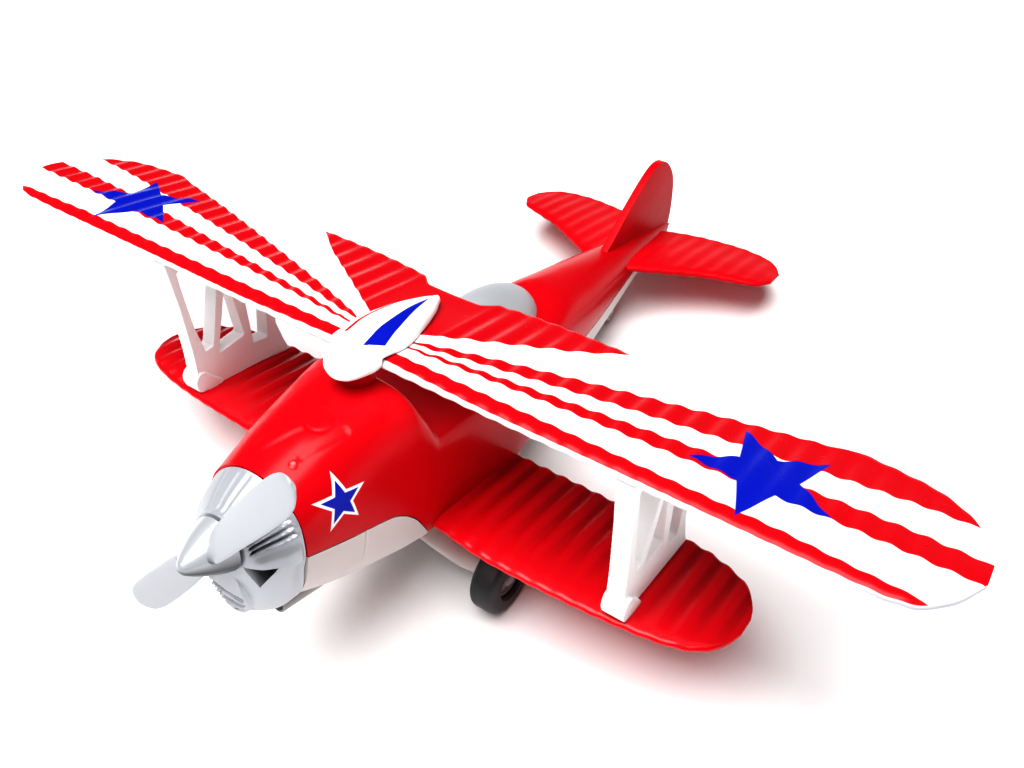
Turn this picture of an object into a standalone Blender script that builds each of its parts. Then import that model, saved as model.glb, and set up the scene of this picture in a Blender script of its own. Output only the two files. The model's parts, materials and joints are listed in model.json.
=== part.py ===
# Toy aerobatic biplane, parked on its wheels.
# All sub-parts are drawn in the level airframe: +X to port, nose towards -Y,
# height zero at the top of the upper wing. One parent tilts them into the parked stance.
import bpy
import bmesh
import math
from mathutils import Matrix, Vector

MM = 0.001
SIDES = (("port", 1), ("starboard", -1))

# Driving dimensions in millimetres
HALF_SPAN = 107.2
LOWER_HALF_SPAN = 75.7
GAP = 0.3
PARK_PITCH = math.radians(18.5)

# Wings
WING_TOP = 0.0
WING_THICK = 3.0
WING_BOTTOM = WING_TOP - WING_THICK
LOWER_MID = -39.6
LOWER_THICK = 2.8
LOWER_TOP = LOWER_MID + LOWER_THICK / 2

# Engine and propeller
THRUST_Z = -23.9
COWL_REAR = -57.5
COWL_FRONT = -65.4
PROP_Y = -68.6
PROP_R = 32.6
SPINNER_R = 5.3
SPINNER_TIP = -74.2
SPINNER_GAP = 0.5
BLADE_ANGLE = math.radians(51.0)

# Tail
STAB_MID = -17.6
STAB_THICK = 2.2
FIN_THICK = 2.2

# Wheels
WHEEL_R = 8.2
WHEEL_W = 6.2
WHEEL_X = 24.8
HUB_R = 4.1
HUB_W = 3.8
HUB_BOSS = 0.6
AXLE_Y = -13.4
AXLE_Z = -55.2
AXLE_R = 1.0
TAIL_WHEEL_R = 2.6
TAIL_WHEEL_W = 2.4
TAIL_WHEEL_Y = 68.0
TAIL_PIN_R = 0.5
TAIL_CHEEK = 1.0

# Interplane struts
STRUT_X = 54.3
STRUT_THICK = 2.8


# Turns a shape drawn about the vertical so that it lies across the airframe
ACROSS = Matrix.Rotation(math.pi / 2, 4, "Y")


def parked(y, z):
    """Length and height of a level point once the airframe is pitched nose up."""
    along = y * math.cos(PARK_PITCH) + z * math.sin(PARK_PITCH)
    height = -y * math.sin(PARK_PITCH) + z * math.cos(PARK_PITCH)
    return along, height


FLOOR_HEIGHT = parked(AXLE_Y, AXLE_Z)[1] - WHEEL_R
TAIL_WHEEL_Z = ((FLOOR_HEIGHT + TAIL_WHEEL_R + TAIL_WHEEL_Y * math.sin(PARK_PITCH))
                / math.cos(PARK_PITCH))


def clear_scene():
    for obj in list(bpy.data.objects):
        bpy.data.objects.remove(obj, do_unlink=True)


def make_collection(name):
    collection = bpy.data.collections.new(name)
    bpy.context.scene.collection.children.link(collection)
    return collection


def material(name, colour, roughness, metallic):
    mat = bpy.data.materials.new(name)
    mat.use_nodes = True
    shader = mat.node_tree.nodes["Principled BSDF"]
    shader.inputs["Base Color"].default_value = (*colour, 1.0)
    shader.inputs["Roughness"].default_value = roughness
    shader.inputs["Metallic"].default_value = metallic
    return mat


def red_paint(name):
    return material(name, (0.80, 0.02, 0.03), 0.22, 0.0)


def white_plastic(name):
    return material(name, (0.92, 0.92, 0.92), 0.25, 0.0)


def silver_paint(name):
    return material(name, (0.66, 0.67, 0.69), 0.30, 0.8)


def beige_plastic(name):
    return material(name, (0.80, 0.77, 0.73), 0.40, 0.0)


def black_rubber(name):
    return material(name, (0.02, 0.02, 0.02), 0.60, 0.0)


def steel(name):
    return material(name, (0.55, 0.55, 0.56), 0.30, 1.0)


def level(x, y, z):
    """A point of the level airframe in metres."""
    return Vector((x * MM, y * MM, z * MM))


def add_object(name, mesh, mat, smooth_angle=35.0):
    obj = bpy.data.objects.new(name, mesh)
    model.objects.link(obj)
    obj.data.materials.append(mat)
    obj.parent = airframe
    for polygon in mesh.polygons:
        polygon.use_smooth = True
    mesh.set_sharp_from_angle(angle=math.radians(smooth_angle))
    return obj


def mesh_from_bmesh(name, bm):
    bmesh.ops.recalc_face_normals(bm, faces=bm.faces)
    mesh = bpy.data.meshes.new(name)
    bm.to_mesh(mesh)
    bm.free()
    return mesh


def add_cutter(name, mesh):
    obj = bpy.data.objects.new(name, mesh)
    cutters.objects.link(obj)
    obj.parent = airframe
    obj.hide_render = True
    obj.display_type = "WIRE"
    return obj


def join(obj, other, operation):
    """Add or cut away another closed body."""
    step = obj.modifiers.new(other.name, "BOOLEAN")
    step.operation = operation
    step.solver = "EXACT"
    step.object = other


def loft_mesh(name, rings):
    """Skin a list of closed rings and cap both ends."""
    bm = bmesh.new()
    rows = [[bm.verts.new(point) for point in ring] for ring in rings]
    count = len(rows[0])
    for low, high in zip(rows, rows[1:]):
        for i in range(count):
            j = (i + 1) % count
            bm.faces.new((low[i], low[j], high[j], high[i]))
    bm.faces.new(rows[0])
    bm.faces.new(reversed(rows[-1]))
    return mesh_from_bmesh(name, bm)


# Fuselage stations: length, half width, top, widest height, bottom, seam height,
# squareness above and squareness below
FUSELAGE = [
    (-57.2, 11.9, -13.9, -26.6, -39.8, -26.3, 2.2, 2.4),
    (-48.0, 13.0, -10.0, -26.6, -42.8, -28.5, 2.6, 2.8),
    (-37.0, 14.0, -7.3, -27.0, -45.0, -30.8, 3.2, 3.2),
    (-30.5, 14.5, -6.4, -27.4, -45.8, -32.4, 3.8, 3.6),
    (-24.0, 14.8, -16.6, -27.8, -46.0, -41.4, 6.0, 4.0),
    (2.0, 14.9, -16.2, -28.4, -46.0, -41.8, 6.0, 4.0),
    (12.0, 14.2, -15.4, -28.0, -44.0, -38.8, 5.0, 4.0),
    (24.0, 12.7, -13.6, -25.8, -39.4, -30.6, 3.4, 3.2),
    (34.0, 11.3, -12.0, -23.6, -36.4, -24.8, 2.4, 3.2),
    (44.0, 10.0, -12.4, -22.6, -33.4, -23.6, 2.2, 3.6),
    (62.0, 7.3, -13.8, -20.6, -28.4, -21.2, 2.2, 3.6),
    (74.0, 5.3, -14.6, -19.6, -25.6, -20.0, 2.2, 3.4),
    (88.0, 3.2, -15.6, -18.8, -22.9, -19.2, 2.2, 2.8),
    (99.0, 1.6, -16.3, -18.3, -21.2, -18.7, 2.2, 2.4),
]
BELLY_FLAT = 0.34
UPPER_STEPS = 9
LOWER_STEPS = 7


def fuselage_width(station, height, grow=0.0):
    """Half width of a station at a height, grown by a clearance."""
    half_width, top, mid, bottom = station[1:5]
    if height >= mid:
        reach, power = (height - mid) / (top + grow - mid), station[6]
    else:
        reach, power = (mid - height) / (mid - bottom + grow), station[7]
    return (half_width + grow) * max(0.0, 1.0 - reach ** power) ** (1.0 / power)


def half_ring(station, start, limit, steps, grow=0.0):
    """Port side points of a station from a start height to its top, or to its flat bottom."""
    half = []
    for i in range(steps):
        turn = math.pi / 2 * i / steps
        height = start + (limit - start) * math.sin(turn)
        half.append((fuselage_width(station, height, grow), height))
    flat = BELLY_FLAT * station[1] if limit < start else 0.0
    half.append((flat, limit))
    return half


def both_sides(y, half):
    """Close a port side outline with its mirror image."""
    port = [level(x, y, z) for x, z in half]
    starboard = [level(-x, y, z) for x, z in reversed(half) if x > 0.0]
    return port + starboard


def body_cutter():
    """The whole fuselage grown by the gap, which seats the pieces that meet it."""
    rings = []
    for station in FUSELAGE:
        mid = station[3]
        upper = half_ring(station, mid, station[2] + GAP, UPPER_STEPS, GAP)
        lower = half_ring(station, mid, station[4] - GAP, LOWER_STEPS, GAP)
        rings.append(both_sides(station[0], list(reversed(lower))[:-1] + upper))
    return add_cutter("body_cutter", loft_mesh("body_cutter", rings))


def make_fuselage():
    """Red casting with its tail surfaces, and the plastic pan under it."""
    upper = [both_sides(s[0], half_ring(s, s[5] + GAP / 2, s[2], UPPER_STEPS)) for s in FUSELAGE]
    shell = add_object("fuselage_shell", loft_mesh("fuselage_shell", upper), red_paint("fuselage_red"))
    for tail in make_tail():
        join(shell, tail, "UNION")
    lower = [both_sides(s[0], half_ring(s, s[5] - GAP / 2, s[4], LOWER_STEPS)) for s in FUSELAGE]
    add_object("belly_pan", loft_mesh("belly_pan", lower), beige_plastic("belly_beige"))


# Canopy dome, pointed towards the tail
CANOPY_MID = 7.1
CANOPY_HALF = 21.4
CANOPY_WIDTH = 8.6
CANOPY_SILL = -19.5
CANOPY_TOP = -4.5
CANOPY_RINGS = 9
CANOPY_ARC = 12
CANOPY_FULLNESS = 0.9


def make_canopy():
    """Closed silver dome over the cockpit."""
    rings = []
    for i in range(1, CANOPY_RINGS + 1):
        turn = math.pi * (i - 0.6) / (CANOPY_RINGS - 0.2)
        y = CANOPY_MID - CANOPY_HALF * math.cos(turn)
        size = math.sin(turn) ** CANOPY_FULLNESS
        ring = []
        for k in range(CANOPY_ARC + 1):
            swing = math.pi * k / CANOPY_ARC
            x = CANOPY_WIDTH * size * math.cos(swing)
            z = CANOPY_SILL + (CANOPY_TOP - CANOPY_SILL) * size * math.sin(swing)
            ring.append(level(x, y, z))
        rings.append(ring)
    canopy = add_object("canopy", loft_mesh("canopy", rings), silver_paint("canopy_silver"))
    join(canopy, body, "DIFFERENCE")


# Wing section: part of the chord, height as part of the thickness
SECTION = [(0.0, 0.0), (0.04, 0.38), (0.14, 0.50), (0.35, 0.50), (0.65, 0.38), (0.92, 0.22), (1.0, 0.0)]


def airfoil_ring(x, lead, trail, mid, thick):
    """Blunt-nosed section between a leading and a trailing edge."""
    chord = trail - lead
    top = [(lead + chord * along, mid + thick * rise) for along, rise in SECTION]
    under = [(lead + chord * along, mid - thick * rise) for along, rise in reversed(SECTION[1:-1])]
    return [level(x, y, z) for y, z in top + under]


# Upper wing stations: distance out, leading edge, trailing edge, part of full thickness
UPPER_WING = [
    (0.0, -32.4, -2.6, 1.0),
    (6.0, -32.4, -2.4, 1.0),
    (10.0, -32.4, 0.4, 1.0),
    (28.0, -32.4, 1.8, 1.0),
    (60.0, -32.2, 1.2, 1.0),
    (84.0, -32.2, 0.2, 0.95),
    (95.0, -32.0, -1.2, 0.85),
    (99.0, -31.4, -2.9, 0.8),
    (101.5, -30.0, -4.6, 0.75),
    (103.9, -27.3, -7.2, 0.65),
    (105.0, -25.6, -8.8, 0.6),
    (HALF_SPAN, -21.0, -13.6, 0.35),
]

# Lower wing stations, the same columns
LOWER_WING = [
    (9.0, -24.2, 5.8, 1.0),
    (30.0, -26.4, 5.8, 1.0),
    (46.0, -25.8, 5.6, 1.0),
    (60.0, -24.4, 4.8, 0.95),
    (67.5, -22.6, 2.8, 0.85),
    (72.0, -20.0, 0.2, 0.7),
    (74.8, -15.6, -4.4, 0.5),
    (LOWER_HALF_SPAN, -12.4, -7.6, 0.3),
]


def wing_rings(stations, mid, thick, side=1):
    return [airfoil_ring(side * x, lead, trail, mid, thick * part) for x, lead, trail, part in stations]


def flat_topped_rings(stations, top, thick, side=1):
    """Sections that thin from below, so that the upper side stays level out to the tip."""
    return [airfoil_ring(side * x, lead, trail, top - thick * part / 2, thick * part)
            for x, lead, trail, part in stations]


def make_upper_wing():
    """One panel from tip to tip, the port half mirrored."""
    port = flat_topped_rings(UPPER_WING, WING_TOP, WING_THICK)
    starboard = flat_topped_rings(UPPER_WING[1:], WING_TOP, WING_THICK, side=-1)
    rings = list(reversed(starboard)) + port
    add_object("upper_wing", loft_mesh("upper_wing", rings), white_plastic("wing_white"))


def make_lower_wings():
    for name, side in SIDES:
        rings = wing_rings(LOWER_WING, LOWER_MID, LOWER_THICK, side)
        mesh = loft_mesh("lower_wing_" + name, rings)
        wing = add_object("lower_wing_" + name, mesh, red_paint("lower_wing_red_" + name))
        join(wing, body, "DIFFERENCE")


# Fairing stations: length, half width, base, widest height, top
FAIRING = [
    (-39.4, 1.6, -3.2, -2.3, -1.4),
    (-38.2, 3.9, -3.8, -2.0, 0.0),
    (-35.8, 5.9, -3.9, -1.6, 1.3),
    (-32.8, 6.9, -3.6, -1.0, 2.0),
    (-32.7, 6.9, GAP, GAP, 2.0),
    (-27.0, 6.8, GAP, GAP, 2.3),
    (-20.0, 5.5, GAP, GAP, 2.0),
    (-13.0, 3.1, GAP, GAP, 1.4),
    (-8.4, 0.8, GAP, GAP, 0.9),
]
FAIRING_STEPS = 10


def make_fairing():
    """Teardrop cap over the middle of the upper wing, wrapped round its leading edge."""
    rings = []
    for y, half_width, base, widest, top in FAIRING:
        ring = []
        for k in range(2 * FAIRING_STEPS):
            swing = math.pi * k / FAIRING_STEPS
            reach = top - widest if k < FAIRING_STEPS else widest - base
            ring.append(level(half_width * math.cos(swing), y, widest + reach * math.sin(swing)))
        rings.append(ring)
    add_object("wing_fairing", loft_mesh("wing_fairing", rings), white_plastic("fairing_white"))


# Pylon stations: length, half width, top
PYLON = [
    (-35.6, 1.6, -4.3),
    (-34.4, 3.4, -4.3),
    (-32.6, 4.0, -4.3),
    (-32.5, 4.0, WING_BOTTOM - GAP),
    (-31.0, 4.0, WING_BOTTOM - GAP),
]
PYLON_FOOT = -9.0


def make_pylon():
    """Block that carries the upper wing on the fuselage hump."""
    rings = []
    for y, half_width, top in PYLON:
        rings.append([level(half_width, y, top), level(-half_width, y, top),
                      level(-half_width, y, PYLON_FOOT), level(half_width, y, PYLON_FOOT)])
    pylon = add_object("wing_pylon", loft_mesh("wing_pylon", rings), red_paint("pylon_red"))
    join(pylon, body, "DIFFERENCE")


def plate_mesh(name, outline, thick, holes=()):
    """Flat plate from a closed outline in length and height, centred on its thickness."""
    curve = bpy.data.curves.new(name, "CURVE")
    curve.dimensions = "2D"
    curve.fill_mode = "BOTH"
    curve.extrude = thick / 2 * MM
    for loop in (outline, *holes):
        spline = curve.splines.new("POLY")
        spline.points.add(len(loop) - 1)
        for point, (y, z) in zip(spline.points, loop):
            point.co = (y * MM, z * MM, 0.0, 1.0)
        spline.use_cyclic_u = True
    drawn = bpy.data.objects.new(name, curve)
    cutters.objects.link(drawn)
    graph = bpy.context.evaluated_depsgraph_get()
    mesh = bpy.data.meshes.new_from_object(drawn.evaluated_get(graph))
    bpy.data.objects.remove(drawn, do_unlink=True)
    stand = Matrix(((0, 0, 1, 0), (1, 0, 0, 0), (0, 1, 0, 0), (0, 0, 0, 1)))
    mesh.transform(stand)
    bm = bmesh.new()
    bm.from_mesh(mesh)
    bmesh.ops.remove_doubles(bm, verts=bm.verts, dist=0.00005)
    bmesh.ops.recalc_face_normals(bm, faces=bm.faces)
    bm.to_mesh(mesh)
    bm.free()
    return mesh


# Strut frame in length and height: its outline between both wings, its three openings, and its
# wider base on the lower wing
STRUT_LOW = LOWER_TOP + GAP
STRUT_HIGH = WING_BOTTOM - GAP
STRUT_OUTLINE = [
    (-24.0, -37.2), (2.8, -37.2), (1.7, -35.2), (-0.7, -29.3), (-1.2, STRUT_HIGH), (-30.8, STRUT_HIGH),
    (-30.4, -5.1), (-28.1, -14.5), (-25.8, -26.8), (-25.3, -30.5), (-25.0, -34.0),
]
STRUT_GAPS = (
    [(-22.2, -28.0), (-20.0, -27.6), (-18.1, -15.1), (-16.8, -6.1), (-27.8, -6.4), (-26.4, -13.1),
     (-24.7, -20.4)],
    [(-18.5, -30.1), (-10.8, -28.5), (-13.1, -19.4), (-15.2, -11.4), (-16.1, -17.1)],
    [(-8.0, -31.9), (-3.6, -32.1), (-4.2, -6.2), (-11.8, -6.6)],
)
STRUT_BASE = [
    (-26.4, STRUT_LOW), (3.6, STRUT_LOW), (4.4, -37.1), (3.8, -36.4), (-20.0, -35.8), (-23.6, -33.8),
    (-25.6, -32.8), (-27.0, -33.6), (-27.5, -35.4),
]
STRUT_BASE_WIDTH = 7.0


def make_struts():
    """Braced strut frame at each side, standing on the lower wing."""
    mesh = plate_mesh("strut", STRUT_OUTLINE, STRUT_THICK, STRUT_GAPS)
    base_mesh = plate_mesh("strut_base", STRUT_BASE, STRUT_BASE_WIDTH)
    for name, side in SIDES:
        strut = add_object("strut_" + name, mesh.copy(), white_plastic("strut_white_" + name))
        base = add_cutter("strut_base_" + name, base_mesh.copy())
        for piece in (strut, base):
            piece.location = level(side * STRUT_X, 0, 0)
        join(strut, base, "UNION")


# Fin outline: length and height
FIN = [
    (57.0, -18.0), (58.6, -16.4), (64.9, -11.2), (71.3, -5.2), (77.9, 0.3), (83.4, 3.3), (87.6, 4.2),
    (91.4, 3.6), (96.1, 0.4), (98.9, -4.0), (100.7, -11.4), (101.1, -17.6), (99.4, -18.2),
]

# Stabiliser outline: distance out, leading edge, trailing edge, part of full thickness
STABILISER = [
    (0.0, 62.0, 93.0, 1.0),
    (5.6, 64.7, 96.0, 1.0),
    (15.0, 71.0, 99.0, 1.0),
    (24.0, 76.6, 100.0, 0.95),
    (31.0, 79.4, 98.9, 0.8),
    (35.4, 81.2, 96.0, 0.6),
    (38.0, 85.2, 91.6, 0.35),
]


def make_tail():
    """Fin and stabiliser, cast in one with the fuselage."""
    fin = add_cutter("fin", plate_mesh("fin", FIN, FIN_THICK))
    port = wing_rings(STABILISER, STAB_MID, STAB_THICK)
    starboard = wing_rings(STABILISER[1:], STAB_MID, STAB_THICK, side=-1)
    stabiliser = add_cutter("stabiliser", loft_mesh("stabiliser", list(reversed(starboard)) + port))
    return fin, stabiliser


# Cowl rings: length, half width, top, bottom, depth of the waves between the lobes
COWL_RINGS = [
    (COWL_REAR, 12.1, -13.9, -41.4, 0.0),
    (-60.0, 11.4, -15.3, -42.0, 0.01),
    (-63.0, 9.0, -17.3, -41.2, 0.03),
    (COWL_FRONT, 6.6, -18.4, -37.8, 0.05),
]
COWL_LOBES = 5
COWL_STEPS = 40


def make_cowl():
    """Lobed engine cowl, narrowing towards the propeller."""
    rings = []
    for y, half_width, top, bottom, wave in COWL_RINGS:
        mid = (top + bottom) / 2
        ring = []
        for k in range(COWL_STEPS):
            turn = 2 * math.pi * k / COWL_STEPS
            part = 1.0 - wave * (1.0 - math.cos(COWL_LOBES * (turn - math.pi / 2)))
            ring.append(level(part * half_width * math.cos(turn), y,
                              mid + part * (top - mid) * math.sin(turn)))
        rings.append(ring)
    add_object("engine_cowl", loft_mesh("engine_cowl", rings), silver_paint("cowl_silver"))


def turned_mesh(name, profile, steps):
    """Turn a radius and length profile about the airframe's length."""
    bm = bmesh.new()
    verts = [bm.verts.new((r * MM, 0.0, z * MM)) for r, z in profile]
    for a, b in zip(verts, verts[1:]):
        bm.edges.new((a, b))
    mesh = bpy.data.meshes.new(name)
    bm.to_mesh(mesh)
    bm.free()
    drawn = bpy.data.objects.new(name, mesh)
    cutters.objects.link(drawn)
    screw = drawn.modifiers.new("turn", "SCREW")
    screw.axis = "Z"
    screw.steps = steps
    screw.render_steps = steps
    screw.use_merge_vertices = True
    screw.merge_threshold = 0.00005
    graph = bpy.context.evaluated_depsgraph_get()
    turned = bpy.data.meshes.new_from_object(drawn.evaluated_get(graph))
    bpy.data.objects.remove(drawn, do_unlink=True)
    return turned


# Blade stations: distance out, half width, thickness, twist in degrees
BLADE = [
    (2.0, 2.4, 2.4, 44.0),
    (5.0, 3.3, 2.4, 40.0),
    (9.0, 3.9, 2.2, 34.0),
    (15.0, 4.1, 1.9, 27.0),
    (21.5, 4.2, 1.6, 21.0),
    (27.0, 4.0, 1.3, 17.0),
    (30.4, 3.1, 1.1, 16.0),
    (32.0, 1.9, 0.9, 16.0),
    (PROP_R, 0.8, 0.7, 16.0),
]
BLADE_SIDES = 10


def blade_mesh(name, angle):
    """Wide twisted blade, swung to its angle about the propeller's axis."""
    rings = []
    for reach, half_width, thick, twist in BLADE:
        pitch = math.radians(twist)
        ring = []
        for k in range(BLADE_SIDES):
            turn = 2 * math.pi * k / BLADE_SIDES
            wide = half_width * math.cos(turn)
            deep = thick / 2 * math.sin(turn)
            across = wide * math.cos(pitch) - deep * math.sin(pitch)
            along = wide * math.sin(pitch) + deep * math.cos(pitch)
            ring.append(level(reach, along, across))
        rings.append(ring)
    mesh = loft_mesh(name, rings)
    mesh.transform(Matrix.Rotation(-angle, 4, "Y"))
    return mesh


def make_propeller():
    """Pointed hub and two wide blades in one moulding."""
    length = PROP_Y - SPINNER_TIP
    back = COWL_FRONT - SPINNER_GAP - PROP_Y
    profile = [(0.0, length), (1.2, length - 0.5), (3.0, length - 3.0), (4.6, -0.6),
               (SPINNER_R, -back), (0.0, -back)]
    mesh = turned_mesh("propeller", profile, 24)
    mesh.transform(Matrix.Rotation(math.pi / 2, 4, "X"))
    propeller = add_object("propeller", mesh, silver_paint("propeller_silver"))
    propeller.location = level(0, PROP_Y, THRUST_Z)
    for name, angle in (("blade_upper", BLADE_ANGLE), ("blade_lower", BLADE_ANGLE + math.pi)):
        blade = add_cutter(name, blade_mesh(name, angle))
        blade.location = propeller.location
        join(propeller, blade, "UNION")


def tyre_profile(radius, width, bore, shoulder):
    """Tyre section with chamfered shoulders, from the outer side round to the inner side."""
    half = width / 2
    edge = shoulder / 2
    return [(bore, half), (radius - shoulder, half), (radius - edge / 2, half - edge),
            (radius, half - shoulder), (radius, shoulder - half), (radius - edge / 2, edge - half),
            (radius - shoulder, -half), (bore, -half), (bore, half)]


def rod_mesh(name, radius, half_length, steps):
    """Round rod across the airframe."""
    profile = [(0.0, half_length), (radius, half_length), (radius, -half_length), (0.0, -half_length)]
    mesh = turned_mesh(name, profile, steps)
    mesh.transform(ACROSS)
    return mesh


def make_main_wheels():
    """Axle with a tyre and hub at each end."""
    half = HUB_W / 2
    bore = AXLE_R + GAP
    tyre_section = tyre_profile(WHEEL_R, WHEEL_W, HUB_R + GAP, 1.4)
    hub_section = [(0.0, half + HUB_BOSS), (1.6, half + HUB_BOSS), (2.0, half), (HUB_R, half),
                   (HUB_R, -half), (bore, -half), (bore, HUB_BOSS), (0.0, HUB_BOSS)]
    for name, side in SIDES:
        place = level(side * WHEEL_X, AXLE_Y, AXLE_Z)
        tyre_mesh = turned_mesh("tyre", tyre_section, 36)
        tyre_mesh.transform(ACROSS)
        tyre = add_object("tyre_" + name, tyre_mesh, black_rubber("tyre_black_" + name))
        tyre.location = place
        hub_mesh = turned_mesh("hub", hub_section, 24)
        hub_mesh.transform(Matrix.Rotation(side * math.pi / 2, 4, "Y"))
        hub = add_object("wheel_hub_" + name, hub_mesh, silver_paint("hub_silver_" + name))
        hub.location = place
    axle_mesh = rod_mesh("axle", AXLE_R, WHEEL_X + HUB_BOSS - GAP, 16)
    axle = add_object("wheel_axle", axle_mesh, steel("axle_steel"))
    axle.location = level(0, AXLE_Y, AXLE_Z)


# Gear leg stations: distance out, length, height, half length, half thickness
GEAR_LEG = [
    (7.0, AXLE_Y, -47.8, 8.0, 3.4),
    (12.0, AXLE_Y, -51.6, 5.8, 2.8),
    (17.0, AXLE_Y, AXLE_Z + 0.6, 3.6, 2.3),
    (21.2, AXLE_Y, AXLE_Z, 2.6, 2.1),
]
LEG_STEPS = 12


def make_gear_legs():
    """Leg at each side from the belly out to the axle."""
    axle_bore = add_cutter("axle_bore", rod_mesh("axle_bore", AXLE_R + GAP, WHEEL_X, 16))
    axle_bore.location = level(0, AXLE_Y, AXLE_Z)
    for name, side in SIDES:
        rings = []
        for x, y, z, half_length, half_thick in GEAR_LEG:
            ring = []
            for k in range(LEG_STEPS):
                turn = 2 * math.pi * k / LEG_STEPS
                ring.append(level(side * x, y + half_length * math.cos(turn),
                                  z + half_thick * math.sin(turn)))
            rings.append(ring)
        mesh = loft_mesh("gear_leg_" + name, rings)
        leg = add_object("gear_leg_" + name, mesh, beige_plastic("gear_beige_" + name))
        join(leg, body, "DIFFERENCE")
        join(leg, axle_bore, "DIFFERENCE")


def make_tail_wheel():
    """Small wheel on a pin between the cheeks of a fork under the tail."""
    place = level(0, TAIL_WHEEL_Y, TAIL_WHEEL_Z)
    bore = TAIL_PIN_R + GAP
    mesh = turned_mesh("tail_wheel", tyre_profile(TAIL_WHEEL_R, TAIL_WHEEL_W, bore, 0.6), 24)
    mesh.transform(ACROSS)
    wheel = add_object("tail_wheel", mesh, black_rubber("tail_wheel_black"))
    wheel.location = place
    slot_half = TAIL_WHEEL_W / 2 + GAP
    fork_half = slot_half + TAIL_CHEEK
    pin = add_object("tail_wheel_pin", rod_mesh("pin", TAIL_PIN_R, fork_half, 12), steel("pin_steel"))
    pin.location = place
    fork_shape = [(-1.7, 0.0), (-0.9, -1.5), (0.9, -1.5), (1.7, 0.0), (0.0, 12.0), (-6.0, 12.0)]
    clear = TAIL_WHEEL_R + 2 * GAP
    slot_shape = [(-6.0, -6.0), (6.0, -6.0), (6.0, clear), (-6.0, clear)]
    fork_mesh = plate_mesh("tail_fork", fork_shape, 2 * fork_half)
    fork = add_object("tail_fork", fork_mesh, beige_plastic("fork_beige"))
    slot = add_cutter("fork_slot", plate_mesh("fork_slot", slot_shape, 2 * slot_half))
    pin_bore = add_cutter("pin_bore", rod_mesh("pin_bore", bore, 2 * fork_half, 12))
    for piece in (fork, slot, pin_bore):
        piece.location = place
    join(fork, slot, "DIFFERENCE")
    join(fork, pin_bore, "DIFFERENCE")
    join(fork, body, "DIFFERENCE")


# Exhaust stub: distance out, then length and height of its front and rear ends
EXHAUST_X = 3.6
EXHAUST_FRONT = (-56.8, -42.8)
EXHAUST_REAR = (-46.4, -44.3)
EXHAUST_R = 1.3
EXHAUST_STEPS = 12


def make_exhausts():
    """Short pipe at each side of the belly behind the cowl."""
    for name, side in SIDES:
        rings = []
        for y, z in (EXHAUST_FRONT, EXHAUST_REAR):
            ring = []
            for k in range(EXHAUST_STEPS):
                turn = 2 * math.pi * k / EXHAUST_STEPS
                ring.append(level(side * EXHAUST_X + EXHAUST_R * math.cos(turn), y,
                                  z + EXHAUST_R * math.sin(turn)))
            rings.append(ring)
        mesh = loft_mesh("exhaust_" + name, rings)
        pipe = add_object("exhaust_" + name, mesh, beige_plastic("exhaust_beige_" + name))
        join(pipe, body, "DIFFERENCE")


def centre_on_floor():
    """Centre the box round the toy over the origin, with the wheels on the floor."""
    bpy.context.view_layer.update()
    graph = bpy.context.evaluated_depsgraph_get()
    ends = []
    for obj in model.objects:
        if obj.type == "MESH":
            seen = obj.evaluated_get(graph)
            ends += [(obj.matrix_world @ vertex.co).y for vertex in seen.data.vertices]
    airframe.location.y -= (min(ends) + max(ends)) / 2
    airframe.location.z = -FLOOR_HEIGHT * MM


clear_scene()
model = make_collection("toy_biplane")
cutters = make_collection("cutters")
airframe = bpy.data.objects.new("airframe", None)
model.objects.link(airframe)
airframe.rotation_euler = (-PARK_PITCH, 0.0, 0.0)
body = body_cutter()

make_fuselage()
make_canopy()
make_upper_wing()
make_fairing()
make_pylon()
make_lower_wings()
make_struts()
make_cowl()
make_propeller()
make_main_wheels()
make_gear_legs()
make_exhausts()
make_tail_wheel()
centre_on_floor()
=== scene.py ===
# Toy aerobatic biplane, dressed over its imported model.
# Every piece is drawn in millimetres in the level airframe (+X to port, nose towards -Y, height zero at the top of the
# upper wing) and is then parked nose up, in the model's own metres.
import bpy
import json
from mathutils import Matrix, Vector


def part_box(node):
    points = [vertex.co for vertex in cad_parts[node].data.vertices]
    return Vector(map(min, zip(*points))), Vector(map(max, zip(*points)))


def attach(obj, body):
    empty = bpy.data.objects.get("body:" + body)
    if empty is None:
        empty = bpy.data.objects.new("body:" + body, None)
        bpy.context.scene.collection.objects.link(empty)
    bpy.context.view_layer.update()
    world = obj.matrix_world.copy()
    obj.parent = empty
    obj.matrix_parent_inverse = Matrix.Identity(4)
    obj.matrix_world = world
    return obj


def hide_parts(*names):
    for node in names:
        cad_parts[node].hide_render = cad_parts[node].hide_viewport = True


bl_info = {
    "name": "Toy Aerobatic Biplane",
    "version": (1, 0, 0),
    "blender": (4, 5, 0),
    "location": "View3D > Sidebar > Biplane",
    "description": "Builds a die-cast toy biplane piece by piece over its packed model",
    "category": "Add Mesh",
}

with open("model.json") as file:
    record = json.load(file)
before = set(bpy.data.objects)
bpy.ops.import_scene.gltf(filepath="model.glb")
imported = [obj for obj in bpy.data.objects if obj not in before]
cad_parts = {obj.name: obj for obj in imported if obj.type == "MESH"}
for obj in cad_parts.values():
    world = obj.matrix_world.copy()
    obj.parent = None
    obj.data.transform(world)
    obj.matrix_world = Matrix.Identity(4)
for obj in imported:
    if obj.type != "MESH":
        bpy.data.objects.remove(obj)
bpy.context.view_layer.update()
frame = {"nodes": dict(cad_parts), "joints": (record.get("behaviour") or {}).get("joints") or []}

import json
import math

import bmesh
import bpy
from bpy.props import FloatProperty, FloatVectorProperty, PointerProperty
from mathutils import Matrix, Vector

MM = 0.001
SIDES = (("port", 1), ("starboard", -1))
GAP = 0.3

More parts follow.
